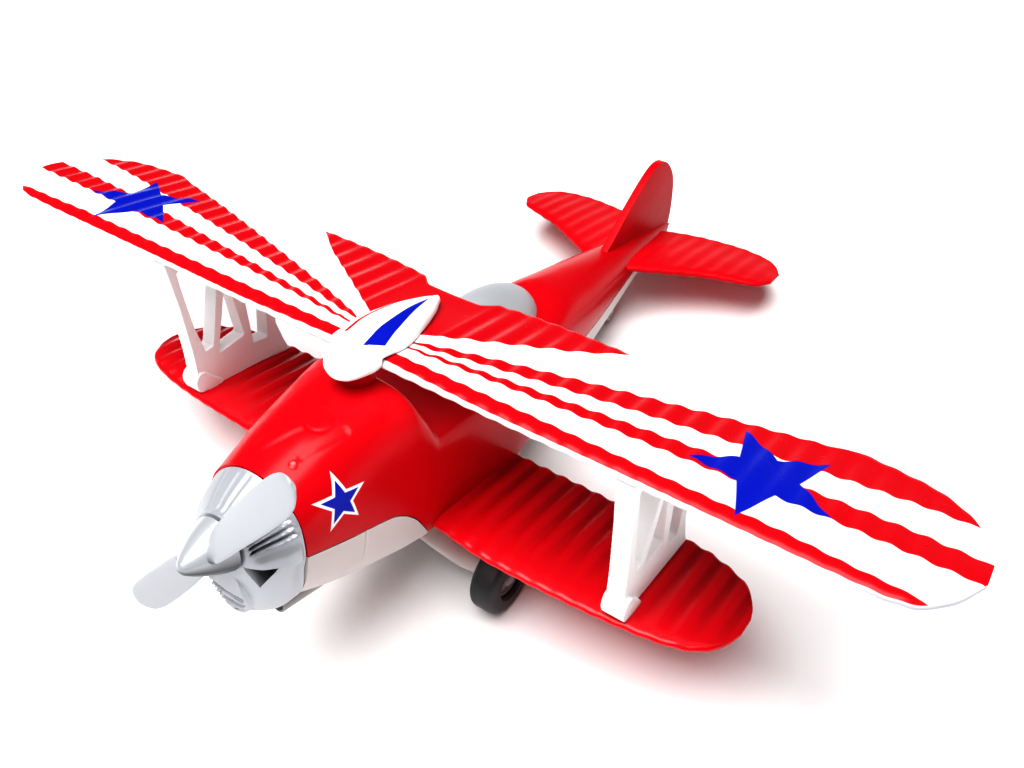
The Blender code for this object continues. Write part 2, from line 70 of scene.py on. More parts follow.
# The propeller's joint gives the parked stance and where the airframe stands
HUB = Vector((0.0, -68.6, -23.9))
SPIN = next(joint for joint in frame["joints"] if joint["name"] == "propeller_spin")
PITCH = math.asin(SPIN["axis"][2])
TILT = Matrix.Rotation(-PITCH, 4, "X")
ORIGIN = Vector(SPIN["pos_m"]) - TILT @ (HUB * MM)
PARKED = Matrix.Translation(ORIGIN) @ TILT @ Matrix.Scale(MM, 4)
LEVEL_UP = tuple(TILT @ Vector((0.0, 0.0, 1.0)))


# ---- Sizes and colours that a user would change -----------------------------------------------------------------


def colour_property(name, description, default):
    return FloatVectorProperty(name=name, description=description, default=default, size=3, min=0.0, max=1.0,
                               subtype="COLOR")


def length_property(name, description, default):
    return FloatProperty(name=name, description=description, default=default, min=0.0, unit="LENGTH", precision=5)


class BiplanePaints(bpy.types.PropertyGroup):
    red: colour_property("Red", "Enamel, red plastic and wing stripes", (0.56, 0.0025, 0.010))
    white: colour_property("White", "Upper wing, fairing and struts", (0.90, 0.90, 0.90))
    blue: colour_property("Blue", "Stars and the fairing's wedge", (0.003, 0.012, 0.37))
    silver: colour_property("Silver", "Engine cowl, propeller and hub", (0.47, 0.48, 0.51))
    canopy: colour_property("Canopy", "Grey dome over the cockpit", (0.43, 0.44, 0.46))
    beige: colour_property("Off-white", "Belly pan and gear legs", (0.62, 0.56, 0.54))
    rubber: colour_property("Rubber", "Tyres", (0.022, 0.022, 0.023))


class BiplaneSizes(bpy.types.PropertyGroup):
    rib_pitch: length_property("Rib pitch", "From one wing rib to the next", 0.00445)
    rib_depth: length_property("Rib depth", "How far a rib stands up from the skin", 0.0002)
    star_reach: length_property("Wing star", "From a wing star's middle to a tip", 0.0126)
    side_star: length_property("Side star", "From a fuselage star's middle to a tip", 0.0054)
    strut_place: length_property("Strut place", "From the middle out to a strut", 0.0551)
    strut_thick: length_property("Strut thickness", "Thickness of a strut frame", 0.0036)
    strut_foot: length_property("Strut foot", "Width of a strut's foot on the lower wing", 0.0048)
    wheel_radius: length_property("Wheel radius", "Outer radius of a main tyre", 0.0082)
    wheel_width: length_property("Wheel width", "Width of a main tyre", 0.0062)


def paint(name):
    return tuple(getattr(bpy.context.scene.biplane_paints, name))


def size(name):
    """A size of the toy in millimetres."""
    return getattr(bpy.context.scene.biplane_sizes, name) / MM


# ---- Modelling steps --------------------------------------------------------------------------------------------


def deselect():
    bpy.ops.object.select_all(action="DESELECT")


def hold(piece):
    """Make a piece the only one selected."""
    deselect()
    piece.select_set(True)
    bpy.context.view_layer.objects.active = piece
    return piece


def start(name, primitive, **size):
    """Add a primitive at its size and place."""
    deselect()
    getattr(bpy.ops.mesh, f"primitive_{primitive}_add")(**size)
    piece = bpy.context.active_object
    piece.name = piece.data.name = name
    bpy.ops.object.transform_apply(location=True, rotation=True, scale=True)
    return piece


def edit(piece):
    hold(piece)
    bpy.ops.object.mode_set(mode="EDIT")
    bpy.ops.mesh.select_mode(type="FACE")
    bpy.ops.mesh.select_all(action="SELECT")


def leave():
    bpy.ops.object.mode_set(mode="OBJECT")


def pick(test, kind="FACE"):
    """Select what passes a test among the faces, edges or vertices of the piece being edited."""
    bpy.ops.mesh.select_mode(type=kind)
    bpy.ops.mesh.select_all(action="DESELECT")
    data = bpy.context.active_object.data
    drawn = bmesh.from_edit_mesh(data)
    for part in {"FACE": drawn.faces, "EDGE": drawn.edges, "VERT": drawn.verts}[kind]:
        if test(part):
            part.select_set(True)
    drawn.select_flush(True)
    bmesh.update_edit_mesh(data)


def close_up(piece):
    """Merge the seam, close the open ends and turn the faces outwards."""
    edit(piece)
    bpy.ops.mesh.remove_doubles(threshold=0.002)
    bpy.ops.mesh.select_all(action="SELECT")
    bpy.ops.mesh.fill_holes(sides=0)
    bpy.ops.mesh.select_all(action="SELECT")
    bpy.ops.mesh.normals_make_consistent(inside=False)
    leave()


def skin(name, rings):
    """A grid wrapped round a piece ring by ring, with its seam merged and its ends closed."""
    rows = [[*ring, ring[0]] for ring in rings]
    piece = start(name, "grid", x_subdivisions=len(rows[0]) - 1, y_subdivisions=len(rows) - 1, size=1.0)
    piece.data.vertices.foreach_set("co", [c for row in rows for point in row for c in point])
    close_up(piece)
    return piece


def plate(name, outline, thick, place=0.0):
    """A flat plate from an outline in length and height, standing along the airframe."""
    piece = start(name, "circle", vertices=len(outline), radius=1.0, fill_type="NGON")
    for vertex, (y, z) in zip(piece.data.vertices, outline):
        vertex.co = (place - thick / 2, y, z)
    edit(piece)
    bpy.ops.mesh.extrude_region_move(TRANSFORM_OT_translate={"value": (thick, 0.0, 0.0)})
    bpy.ops.mesh.select_all(action="SELECT")
    bpy.ops.mesh.normals_make_consistent(inside=False)
    leave()
    return piece


def turn(name, section, centre, axis="X", steps=48):
    """Spin a closed section of radius and length about an axis through a centre."""
    piece = start(name, "circle", vertices=len(section), radius=1.0, fill_type="NOTHING")
    for vertex, (radius, along) in zip(piece.data.vertices, section):
        vertex.co = (along, radius, 0.0) if axis == "X" else (radius, along, 0.0)
    line = (1.0, 0.0, 0.0) if axis == "X" else (0.0, 1.0, 0.0)
    edit(piece)
    bpy.ops.mesh.spin(steps=steps, angle=2 * math.pi, center=(0.0, 0.0, 0.0), axis=line)
    leave()
    close_up(piece)
    piece.data.transform(Matrix.Translation(centre))
    return piece


def shape(piece, kind, **settings):
    """Add a modifier and apply it."""
    step = piece.modifiers.new(kind.lower(), kind)
    for name, value in settings.items():
        setattr(step, name, value)
    hold(piece)
    bpy.ops.object.modifier_apply(modifier=step.name)
    return piece


def carve(piece, cutter, operation="DIFFERENCE"):
    shape(piece, "BOOLEAN", operation=operation, solver="EXACT", object=cutter)
    bpy.data.objects.remove(cutter, do_unlink=True)
    return piece


def soften(piece, width, segments=2, angle=30.0):
    return shape(piece, "BEVEL", width=width, segments=segments, limit_method="ANGLE",
                 angle_limit=math.radians(angle), use_clamp_overlap=True)


def seat(piece, finish, body="airframe", stands_for=(), angle=35.0):
    """Bring a drawn piece to its parked place, finish it and hang it on its body."""
    hold(piece)
    piece.matrix_world = PARKED
    bpy.ops.object.transform_apply(location=True, rotation=True, scale=True)
    bpy.ops.object.shade_smooth_by_angle(angle=math.radians(angle))
    piece.data.materials.clear()
    piece.data.materials.append(finish)
    if stands_for:
        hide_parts(*stands_for)
    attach(piece, body)
    return piece


# ---- Curves through tables --------------------------------------------------------------------------------------


def slopes(places, values):
    steps = [(v1 - v0) / (p1 - p0) for p0, p1, v0, v1 in zip(places, places[1:], values, values[1:])]
    inner = [0.0 if a * b <= 0 else 2 * a * b / (a + b) for a, b in zip(steps, steps[1:])]
    return [steps[0], *inner, steps[-1]]


def flow(table, at):
    """A table's columns at a place between its rows, on smooth curves that don't overshoot."""
    places = [row[0] for row in table]
    at = min(max(at, places[0]), places[-1])
    i = max(k for k in range(len(places) - 1) if places[k] <= at)
    step = places[i + 1] - places[i]
    t = (at - places[i]) / step
    found = []
    for values in list(zip(*table))[1:]:
        tilt = slopes(places, values)
        found.append((2 * t ** 3 - 3 * t ** 2 + 1) * values[i] + (t ** 3 - 2 * t ** 2 + t) * step * tilt[i]
                     + (3 * t ** 2 - 2 * t ** 3) * values[i + 1] + (t ** 3 - t ** 2) * step * tilt[i + 1])
    return found


def even(points, count):
    """The same line with its points spread evenly along it."""
    reach = [0.0]
    for a, b in zip(points, points[1:]):
        reach.append(reach[-1] + math.dist(a, b))
    spread, k = [], 0
    for i in range(count):
        goal = reach[-1] * i / (count - 1)
        while k < len(points) - 2 and reach[k + 1] < goal:
            k += 1
        part = (goal - reach[k]) / max(reach[k + 1] - reach[k], 1e-9)
        spread.append(tuple(a + (b - a) * part for a, b in zip(points[k], points[k + 1])))
    return spread


def steps_between(low, high, step):
    count = max(2, round((high - low) / step))
    return [low + (high - low) * i / count for i in range(count + 1)]


def rise(value, low, high):
    """Smooth step from 0 to 1."""
    t = min(max((value - low) / (high - low), 0.0), 1.0)
    return t * t * (3 - 2 * t)


# ---- Materials --------------------------------------------------------------------------------------------------


class Value:
    """A socket of a finish that takes part in plain sums."""

    def __init__(self, finish, socket):
        self.finish = finish
        self.socket = socket

    def sum(self, operation, *others):
        return self.finish.node("ShaderNodeMath", {"operation": operation}, [self, *others])

    def __add__(self, other):
        return self.sum("ADD", other)

    def __sub__(self, other):
        return self.sum("SUBTRACT", other)

    def __rsub__(self, other):
        return self.finish.node("ShaderNodeMath", {"operation": "SUBTRACT"}, [other, self])

    def __mul__(self, other):
        return self.sum("MULTIPLY", other)

    def __truediv__(self, other):
        return self.sum("DIVIDE", other)

    __radd__ = __add__
    __rmul__ = __mul__

    def least(self, other):
        return self.sum("MINIMUM", other)

    def most(self, other):
        return self.sum("MAXIMUM", other)

    def size(self):
        return self.sum("ABSOLUTE")

    def clear_of(self, edge, blur=0.1):
        """1 where the value is above an edge, 0 below it."""
        return self.finish.node("ShaderNodeMapRange", {"clamp": True},
                                {"Value": self - edge, "From Min": -blur, "From Max": blur})


class Finish:
    """One material, with its pattern drawn in the level airframe's millimetres."""

    def __init__(self, name, colour, roughness, metallic=0.0, coat=0.0, shine=0.15):
        self.material = bpy.data.materials.new(name)
        self.material.use_nodes = True
        self.tree = self.material.node_tree
        self.shader = self.tree.nodes["Principled BSDF"]
        self.shader.inputs["Base Color"].default_value = (*colour, 1.0)
        self.shader.inputs["Roughness"].default_value = roughness
        self.shader.inputs["Metallic"].default_value = metallic
        self.shader.inputs["Coat Weight"].default_value = coat
        self.shader.inputs["Coat Roughness"].default_value = 0.05
        self.shader.inputs["Specular IOR Level"].default_value = shine

    def node(self, kind, settings=None, values=(), out=0):
        """Add a node: its settings first, then the values or links of its sockets."""
        node = self.tree.nodes.new(kind)
        for name, value in (settings or {}).items():
            setattr(node, name, value)
        pairs = values.items() if isinstance(values, dict) else enumerate(values)
        for socket, value in pairs:
            self.feed(node.inputs[socket], value)
        return Value(self, node.outputs[out])

    def feed(self, socket, value):
        if isinstance(value, Value):
            self.tree.links.new(value.socket, socket)
        elif isinstance(value, tuple) and len(value) == 3 and len(socket.default_value) == 4:
            socket.default_value = (*value, 1.0)
        else:
            socket.default_value = value

    def set(self, socket, value):
        self.feed(self.shader.inputs[socket], value)

    def point(self):
        """Where the surface is in the level airframe, in millimetres."""
        place = self.node("ShaderNodeTexCoord", out="Object")
        return self.node("ShaderNodeMapping", {"vector_type": "TEXTURE"},
                         {"Vector": place, "Location": tuple(ORIGIN), "Rotation": (-PITCH, 0.0, 0.0),
                          "Scale": (MM, MM, MM)})

    def split(self, vector):
        return [self.node("ShaderNodeSeparateXYZ", None, [vector], out) for out in range(3)]

    def noise(self, point, scale, detail=3.0, roughness=0.5):
        return self.node("ShaderNodeTexNoise", None, {"Vector": point, "Scale": scale, "Detail": detail,
                                                      "Roughness": roughness}, "Fac")

    def mix(self, part, under, over):
        return self.node("ShaderNodeMix", {"data_type": "RGBA"}, {"Factor": part, 6: under, 7: over}, 2)

    def curve(self, value, points, low, high):
        """A height that follows straight lines through points, between two ends of the value."""
        tops = [height for _, height in points]
        base, reach = min(tops), max(max(tops) - min(tops), 1e-6)
        node = self.tree.nodes.new("ShaderNodeFloatCurve")
        line = node.mapping.curves[0]
        spots = [((place - low) / (high - low), (height - base) / reach) for place, height in points]
        line.points[0].location, line.points[-1].location = spots[0], spots[-1]
        for spot in spots[1:-1]:
            line.points.new(*spot)
        for spot in line.points:
            spot.handle_type = "VECTOR"
        node.mapping.update()
        self.feed(node.inputs["Value"], (value - low) / (high - low))
        return Value(self, node.outputs[0]) * reach + base

    def bump(self, height, distance, strength=1.0):
        """Fine relief, its depth in millimetres."""
        self.set("Normal", self.node("ShaderNodeBump", None, {"Height": height, "Strength": strength,
                                                              "Distance": distance * MM}))


FINISHES = {}


def painted(name, colour, roughness, metallic=0.0, coat=0.0, shine=0.15, grain=0.6, depth=0.01, wander=0.06):
    """A finish with a faint wander in colour and gloss and a fine surface."""
    if name not in FINISHES:
        finish = Finish(name, colour, roughness, metallic, coat, shine)
        point = finish.point()
        cloud = finish.noise(point, 0.05)
        dark = tuple(c * (1 - wander) for c in colour)
        finish.set("Base Color", finish.mix(cloud, dark, colour))
        finish.set("Roughness", finish.noise(point, 0.3) * (0.3 * roughness) + 0.85 * roughness)
        finish.bump(finish.noise(point, grain), depth)
        FINISHES[name] = finish.material
    return FINISHES[name]


def red_enamel():
    return painted("red_enamel", paint("red"), 0.42, shine=0.08, depth=0.004)


def red_plastic():
    return painted("red_plastic", paint("red"), 0.22, coat=0.12, depth=0.004)


def ribbed_red():
    """Red plastic, with painted shade in the valleys between the ribs."""
    if "ribbed_red" in FINISHES:
        return FINISHES["ribbed_red"]
    red = tuple(c * 1.12 for c in paint("red"))
    finish = Finish("ribbed_red", red, 0.22, shine=0.3)
    point = finish.point()
    x, y, z = finish.split(point)
    wave = finish.node("ShaderNodeMath", {"operation": "COSINE"}, [x * (2 * math.pi / size("rib_pitch"))])
    # Painted shade: upward faces are darkened in the valleys between the ribs, more towards the trailing edge
    valley = (0.25 - wave).clear_of(0.5, 0.55) * facing_up(finish).clear_of(0.5, 0.2) * y.clear_of(-11.0, 9.0)
    cloud = finish.noise(point, 0.05)
    colour = finish.mix(cloud, tuple(c * 0.94 for c in red), red)
    finish.set("Base Color", finish.mix(valley * 0.5, colour, tuple(c * 0.25 for c in red)))
    finish.set("Roughness", finish.noise(point, 0.3) * 0.06 + 0.2)
    finish.bump(finish.noise(point, 0.6), 0.004)
    FINISHES["ribbed_red"] = finish.material
    return finish.material


def white_plastic():
    return painted("white_plastic", paint("white"), 0.5, shine=0.1, depth=0.002)


def silver_paint():
    return painted("silver_paint", paint("silver"), 0.34, metallic=0.75, shine=0.5, grain=8.0, depth=0.004)


def beige_plastic():
    return painted("beige_plastic", paint("beige"), 0.45, shine=0.3, grain=3.0, depth=0.008)


def black_rubber():
    return painted("black_rubber", paint("rubber"), 0.5, shine=0.5, grain=4.0, depth=0.02)


def grey_plastic():
    return painted("grey_plastic", (0.26, 0.26, 0.27), 0.4, shine=0.4)


def pipe_grey():
    return painted("pipe_grey", (0.42, 0.41, 0.40), 0.45, shine=0.3, grain=3.0, depth=0.006)


def bright_steel():
    return painted("bright_steel", (0.55, 0.55, 0.56), 0.3, metallic=1.0, shine=0.5, grain=6.0, depth=0.004)


def canopy_silver():
    return painted("canopy_silver", paint("canopy"), 0.45, metallic=0.2, shine=0.3, grain=6.0, depth=0.003)


def star_depth(finish, across, along, reach, notch):
    """How far inside a five-pointed star a point lies, one tip ahead; negative outside it."""
    angle = finish.node("ShaderNodeMath", {"operation": "ARCTAN2"}, [across, along])
    away = finish.node("ShaderNodeMath", {"operation": "SQRT"}, [across * across + along * along])
    fold = finish.node("ShaderNodeMath", {"operation": "PINGPONG"}, [angle + 4 * math.pi, math.pi / 5])
    beside = away * finish.node("ShaderNodeMath", {"operation": "SINE"}, [fold])
    out = away * finish.node("ShaderNodeMath", {"operation": "COSINE"}, [fold])
    edge = (notch * math.sin(math.pi / 5), notch * math.cos(math.pi / 5) - reach)
    length = math.hypot(*edge)
    return 0.0 - (beside * (-edge[1] / length) + (out - reach) * (edge[0] / length))


# Upper wing print: (distance out, length) along the edges of each stripe
LE_FRONT = [(6.0, -31.7), (60.0, -33.0), (107.5, -33.0)]
LE_REAR = [(6.0, -29.2), (80.0, -29.2), (90.0, -29.7), (101.0, -29.9), (107.5, -30.4)]
MID_FRONT = [(6.0, -26.6), (20.0, -25.4), (36.0, -24.2), (60.0, -22.9), (80.0, -21.9), (95.0, -21.5), (107.5, -21.4)]
MID_REAR = [(6.0, -26.1), (12.0, -25.1), (20.0, -23.9), (31.0, -22.4), (46.0, -20.6), (60.0, -18.9), (72.0, -17.4),
            (86.0, -16.2), (96.0, -15.7), (107.5, -15.7)]
TE_FRONT = [(6.0, -24.7), (12.0, -23.7), (20.0, -21.8), (31.0, -19.5), (46.0, -16.4), (61.0, -13.6), (75.0, -11.2),
            (86.0, -9.3), (96.0, -8.0), (107.5, -7.3)]
TE_REAR = [(6.0, -24.4), (9.0, -22.9), (20.0, -19.1), (31.0, -15.6), (46.0, -10.9), (61.0, -6.4), (71.0, -3.7),
           (80.0, -1.4), (86.0, 1.5), (107.5, 2.0)]
PANEL_EDGE = [(0.0, -24.8), (5.8, -21.2), (31.0, -4.9), (38.1, 0.9), (45.0, 7.0)]
STAR_PORT = (72.8, -17.8)
STAR_STARBOARD = (76.3, -17.5)
NOTCH_SHARE = 0.43


def facing_up(finish):
    """How squarely the surface faces the top of the airframe."""
    normal = finish.node("ShaderNodeNewGeometry", out="Normal")
    return finish.node("ShaderNodeVectorMath", {"operation": "DOT_PRODUCT"}, [normal, LEVEL_UP], "Value")


# Painted shade on the sideways faces of the upper wing's tips
TIP_SIDE_SHADE_GREY = (0.40, 0.38, 0.46)


def wing_print():
    """White wing with red stripes, red panels and blue stars on the upper side only, and painted shade on the sides of
    its tips.
    """
    if "wing_print" in FINISHES:
        return FINISHES["wing_print"]
    white, red = paint("white"), tuple(c * 0.93 for c in paint("red"))
    finish = Finish("wing_print", white, 0.26, shine=0.2)
    point = finish.point()
    x, y, z = finish.split(point)
    out = x.size()

    def between(front, rear):
        first = y - finish.curve(out, front, 0.0, 107.5)
        last = finish.curve(out, rear, 0.0, 107.5) - y
        return first.clear_of(0.0) * last.clear_of(0.0)

    stripes = [[(0.0, front[0][1]), *front] for front in (LE_FRONT, LE_REAR, MID_FRONT, MID_REAR, TE_FRONT, TE_REAR)]
    print_mask = between(stripes[0], stripes[1])
    print_mask = print_mask.most(between(stripes[2], stripes[3]))
    print_mask = print_mask.most(between(stripes[4], stripes[5]))
    print_mask = print_mask * out.clear_of(6.0)
    panel = (y - finish.curve(out, PANEL_EDGE, 0.0, 45.0)).clear_of(0.0) * (1 - out.clear_of(42.0))
    print_mask = print_mask.most(panel)
    upward = facing_up(finish)
    top = upward.clear_of(0.62, 0.08) * z.clear_of(-1.1).most(y.clear_of(-27.0))
    centre_out = STAR_STARBOARD[0] - x.clear_of(0.0) * (STAR_STARBOARD[0] - STAR_PORT[0])
    centre_y = STAR_STARBOARD[1] - x.clear_of(0.0) * (STAR_STARBOARD[1] - STAR_PORT[1])
    reach = size("star_reach")
    stars = star_depth(finish, out - centre_out, centre_y - y, reach, NOTCH_SHARE * reach).clear_of(0.0)
    cloud = finish.noise(point, 0.05)
    # Painted shade: faces near the tips that look sideways turn grey
    tip_side_shade = (1 - upward.clear_of(0.55, 0.25)) * upward.clear_of(-0.5, 0.25) * out.clear_of(90.0, 6.0)
    ground = finish.mix(cloud, tuple(c * 0.96 for c in white), white)
    ground = finish.mix(tip_side_shade * 0.75, ground, TIP_SIDE_SHADE_GREY)
    ink = finish.mix(cloud, tuple(c * 0.94 for c in red), red)
    colour = finish.mix(print_mask * top, ground, ink)
    colour = finish.mix(stars * top, colour, paint("blue"))
    finish.set("Base Color", colour)
    finish.set("Roughness", finish.noise(point, 0.3) * 0.08 + 0.22)
    finish.bump(finish.noise(point, 0.8), 0.005)
    FINISHES["wing_print"] = finish.material
    return finish.material


SIDE_STAR = (-49.0, -19.1)
STAR_RIM = 0.5


def fuselage_print():
    """Red enamel with a white-edged blue star on each side, painted shade deepening towards the tail, and a patchy
    pale spot on the nub on the hump.
    """
    if "fuselage_print" in FINISHES:
        return FINISHES["fuselage_print"]
    red = paint("red")
    finish = Finish("fuselage_print", red, 0.24)
    point = finish.point()
    x, y, z = finish.split(point)
    reach = size("side_star")
    depth = star_depth(finish, y - SIDE_STAR[0], z - SIDE_STAR[1], reach, NOTCH_SHARE * reach)
    side = x.size().clear_of(7.0)
    cloud = finish.noise(point, 0.05)
    colour = finish.mix(cloud, tuple(c * 0.94 for c in red), red)
    # Painted shade: the red darkens towards the tail
    colour = finish.mix(y.clear_of(40.0, 30.0) * 0.3, colour, tuple(c * 0.5 for c in red))
    colour = finish.mix(depth.clear_of(0.0, 0.06) * side, colour, paint("white"))
    colour = finish.mix(depth.clear_of(STAR_RIM, 0.06) * side, colour, paint("blue"))
    # A patchy pale spot on the nub
    from_nub = finish.node("ShaderNodeMath", {"operation": "SQRT"},
                           [(x - NUB[0]) * (x - NUB[0]) + (y - NUB[1]) * (y - NUB[1])])
    pale_nub_patch = (1 - from_nub.clear_of(0.5, 0.2)) * finish.noise(point, 2.0).clear_of(0.45, 0.15) * z.clear_of(-16.0)
    colour = finish.mix(pale_nub_patch * 0.6, colour, (0.75, 0.35, 0.36))
    finish.set("Base Color", colour)
    finish.set("Roughness", finish.noise(point, 0.3) * 0.07 + 0.2)
    finish.bump(finish.noise(point, 0.6), 0.005)
    FINISHES["fuselage_print"] = finish.material
    return finish.material


# Wedge on the fairing: (length, distance out) of its port and starboard edges, and its red line
WEDGE_PORT = [(-34.0, 6.2), (-30.6, 5.6), (-28.0, 5.05), (-24.75, 4.3), (-20.5, 3.25), (-16.4, 2.25), (-12.6, 1.2)]
WEDGE_STARBOARD = [(-34.0, 3.0), (-31.2, 2.4), (-29.2, 2.15), (-26.1, 1.95), (-23.2, 1.8), (-18.5, 1.6), (-12.6, 1.1)]
WEDGE_FRONT = (-33.4, 2.9), (-30.6, 5.6)
FAIRING_LINE = [(-31.6, -2.9), (-28.0, -2.95), (-25.0, -2.8), (-20.0, -2.1), (-15.0, -1.2), (-11.0, -0.2),
                (-10.0, 0.2)]
LINE_HALF = 0.38


def fairing_print():
    """White cap with a blue wedge pointing aft and a thin red line along its starboard side."""
    if "fairing_print" in FINISHES:
        return FINISHES["fairing_print"]
    white = paint("white")
    finish = Finish("fairing_print", white, 0.24, shine=0.3)
    point = finish.point()
    x, y, z = finish.split(point)
    low, high = -34.0, -8.0
    port, starboard, line = [[*edge, (high, edge[-1][1])] for edge in (WEDGE_PORT, WEDGE_STARBOARD, FAIRING_LINE)]
    line = [(low, line[0][1]), *line]
    (front_y, front_x), (corner_y, corner_x) = WEDGE_FRONT
    lean = (corner_y - front_y) / (corner_x - front_x)
    ahead = y - (front_y - lean * front_x) - x * lean
    wedge = (finish.curve(y, port, low, high) - x).clear_of(0.0, 0.07) * (
        x - finish.curve(y, starboard, low, high)).clear_of(0.0, 0.07) * ahead.clear_of(0.0, 0.07)
    wedge = wedge * (1 - y.clear_of(-12.6))
    thin = (LINE_HALF - (x - finish.curve(y, line, low, high)).size()).clear_of(0.0, 0.07)
    thin = thin * y.clear_of(-31.6) * (1 - y.clear_of(-10.2))
    cloud = finish.noise(point, 0.06)
    colour = finish.mix(cloud, tuple(c * 0.96 for c in white), white)
    colour = finish.mix(wedge * z.clear_of(0.0), colour, paint("blue"))
    colour = finish.mix(thin * z.clear_of(0.0), colour, paint("red"))
    finish.set("Base Color", colour)
    finish.set("Roughness", finish.noise(point, 0.3) * 0.07 + 0.2)
    finish.bump(finish.noise(point, 0.8), 0.005)
    FINISHES["fairing_print"] = finish.material
    return finish.material


# ---- Fuselage ---------------------------------------------------------------------------------------------------

# Length, half width, top, widest height, bottom, seam height, squareness above and below
FUSELAGE = [
    (-57.2, 11.9, -13.9, -26.6, -39.8, -26.1, 2.2, 2.4),
    (-48.0, 13.0, -10.0, -26.6, -42.8, -27.7, 2.6, 2.8),
    (-37.0, 14.0, -7.3, -27.0, -45.0, -29.5, 3.2, 3.2),
    (-33.7, 14.3, -6.6, -27.2, -45.4, -31.2, 3.4, 3.4),
    (-30.5, 14.5, -6.4, -27.4, -45.8, -34.1, 3.8, 3.6),
    (-27.5, 14.7, -10.6, -27.6, -45.9, -38.2, 4.8, 3.8),
    (-24.0, 14.8, -16.6, -27.8, -46.0, -42.0, 6.0, 4.0),
    (2.0, 14.9, -16.2, -28.4, -46.0, -41.8, 6.0, 4.0),
    (12.0, 14.2, -15.4, -28.0, -44.0, -38.8, 5.0, 4.0),
    (24.0, 12.7, -13.6, -25.8, -39.4, -30.6, 3.4, 3.2),
    (34.0, 11.3, -12.0, -23.6, -36.4, -24.8, 2.4, 3.2),
    (44.0, 10.0, -12.4, -22.6, -33.4, -23.6, 2.2, 3.6),
    (62.0, 7.3, -13.8, -20.6, -28.4, -21.2, 2.2, 3.6),
    (74.0, 5.3, -14.6, -19.6, -25.6, -20.0, 2.2, 3.4),
    (88.0, 3.2, -15.6, -18.8, -22.9, -19.2, 2.2, 2.8),
    (99.0, 1.6, -16.3, -18.3, -21.2, -18.7, 2.2, 2.4),
]
BELLY_FLAT = 0.34
HATCH = (2.4, -43.9, 2.6)
NUB = (4.7, -52.9)
BLISTER = ((-2.8, -52.6), (0.3, -46.6))
CHANNEL = ((4.9, -51.0), (7.3, -42.9))


def section(station, upper, seam):
    """Port outline of a station: the casting's from the seam to the top, or the pan's from the seam down."""
    half, top, mid, bottom, _, above, below = station
    line = []
    for i in range(121):
        turn_by = math.pi / 2 * i / 120
        if upper:
            reach, power, sign = top - mid, above, 1
        else:
            reach, power, sign = mid - bottom, below, -1
        x = half * math.cos(turn_by) ** (2 / power)
        z = mid + sign * reach * math.sin(turn_by) ** (2 / power)
        line.append((x, z))
    if upper and seam < mid:
        drop = [(half * (1 - ((mid - z) / (mid - bottom)) ** below) ** (1 / below), z)
                for z in steps_between(seam, mid, 0.4)]
        line = drop[:-1] + line
    elif upper:
        line = [(half * (1 - ((seam - mid) / (top - mid)) ** above) ** (1 / above), seam)] + [
            point for point in line if point[1] > seam]
    else:
        first = (half * (1 - ((mid - min(seam, mid)) / (mid - bottom)) ** below) ** (1 / below), seam)
        line = [first] + [point for point in line if point[1] < seam]
        line = [point for point in line if point[0] > BELLY_FLAT * half] + [(BELLY_FLAT * half, bottom)]
    return line


def beside(x, y, start_at, end_at):
    """Distance from a point to a short straight line."""
    run = (end_at[0] - start_at[0], end_at[1] - start_at[1])
    share = ((x - start_at[0]) * run[0] + (y - start_at[1]) * run[1]) / (run[0] ** 2 + run[1] ** 2)
    share = min(max(share, 0.0), 1.0)
    return math.hypot(x - start_at[0] - share * run[0], y - start_at[1] - share * run[1])


def hump_relief(x, y, z, top):
    """What stands up from the hump or is sunk in it."""
    high = rise(z, top - 8.0, top - 5.0)
    ring = abs(math.hypot(x - HATCH[0], y - HATCH[1]) - HATCH[2])
    change = -0.1 * math.exp(-(ring / 0.35) ** 2)
    change += 0.2 * (1 - rise(beside(x, y, *BLISTER), 0.3, 1.8))
    change -= 0.2 * (1 - rise(beside(x, y, *CHANNEL), 0.1, 1.2))
    change += 0.5 * (1 - rise(math.hypot(x - NUB[0], y - NUB[1]), 0.2, 0.8))
    return change * high


def fuselage_rings(upper, count, places):
    rings = []
    for y in places:
        station = flow(FUSELAGE, y)
        seam = station[4] + (GAP / 2 if upper else -GAP / 2)
        half = even(section(station, upper, seam), count)
        if upper:
            half[-1] = (0.0, half[-1][1])
        ring = mirror_round(y, half)
        if upper and y < -36.0:
            ring = [(x, y, z + hump_relief(x, y, z, station[1])) for x, y, z in ring]
        if not upper:
            ring = [(x - math.copysign(panel_line(y, x, z), x), y, z) for x, y, z in ring]
        rings.append(ring)
    return rings


def panel_line(y, x, z):
    """Depth of the upright line on each side of the pan."""
    return 0.22 * math.exp(-((y + 43.7) / 0.28) ** 2) if z > -44.0 else 0.0


def mirror_round(y, half):
    return [(x, y, z) for x, z in half] + [(-x, y, z) for x, z in reversed(half) if x > 1e-6]


def build_fuselage():
    front, rear = FUSELAGE[0][0], FUSELAGE[-1][0]
    places = steps_between(front, -29.0, 0.22)[:-1] + steps_between(-29.0, -22.0, 0.35)[:-1]
    places += steps_between(-22.0, rear, 0.8)
    casting = skin("fuselage_casting", fuselage_rings(True, 88, places))
    seat(casting, fuselage_print(), stands_for=["fuselage_shell"])
    places = steps_between(front, -40.0, 0.2)[:-1] + steps_between(-40.0, rear, 0.8)
    pan = skin("belly_pan_moulding", fuselage_rings(False, 40, places))
    seat(pan, beige_plastic(), stands_for=["belly_pan"])


# Fin outline: length and height
FIN = [
    (58.4, -18.0), (60.0, -16.4), (66.2, -11.0), (72.4, -5.2), (78.8, 0.0), (83.6, 3.0), (87.4, 3.9),
    (91.0, 3.2), (95.2, 0.0), (97.9, -4.2), (99.6, -11.4), (99.6, -17.0), (98.4, -18.0),
]
FIN_THICK = 2.0

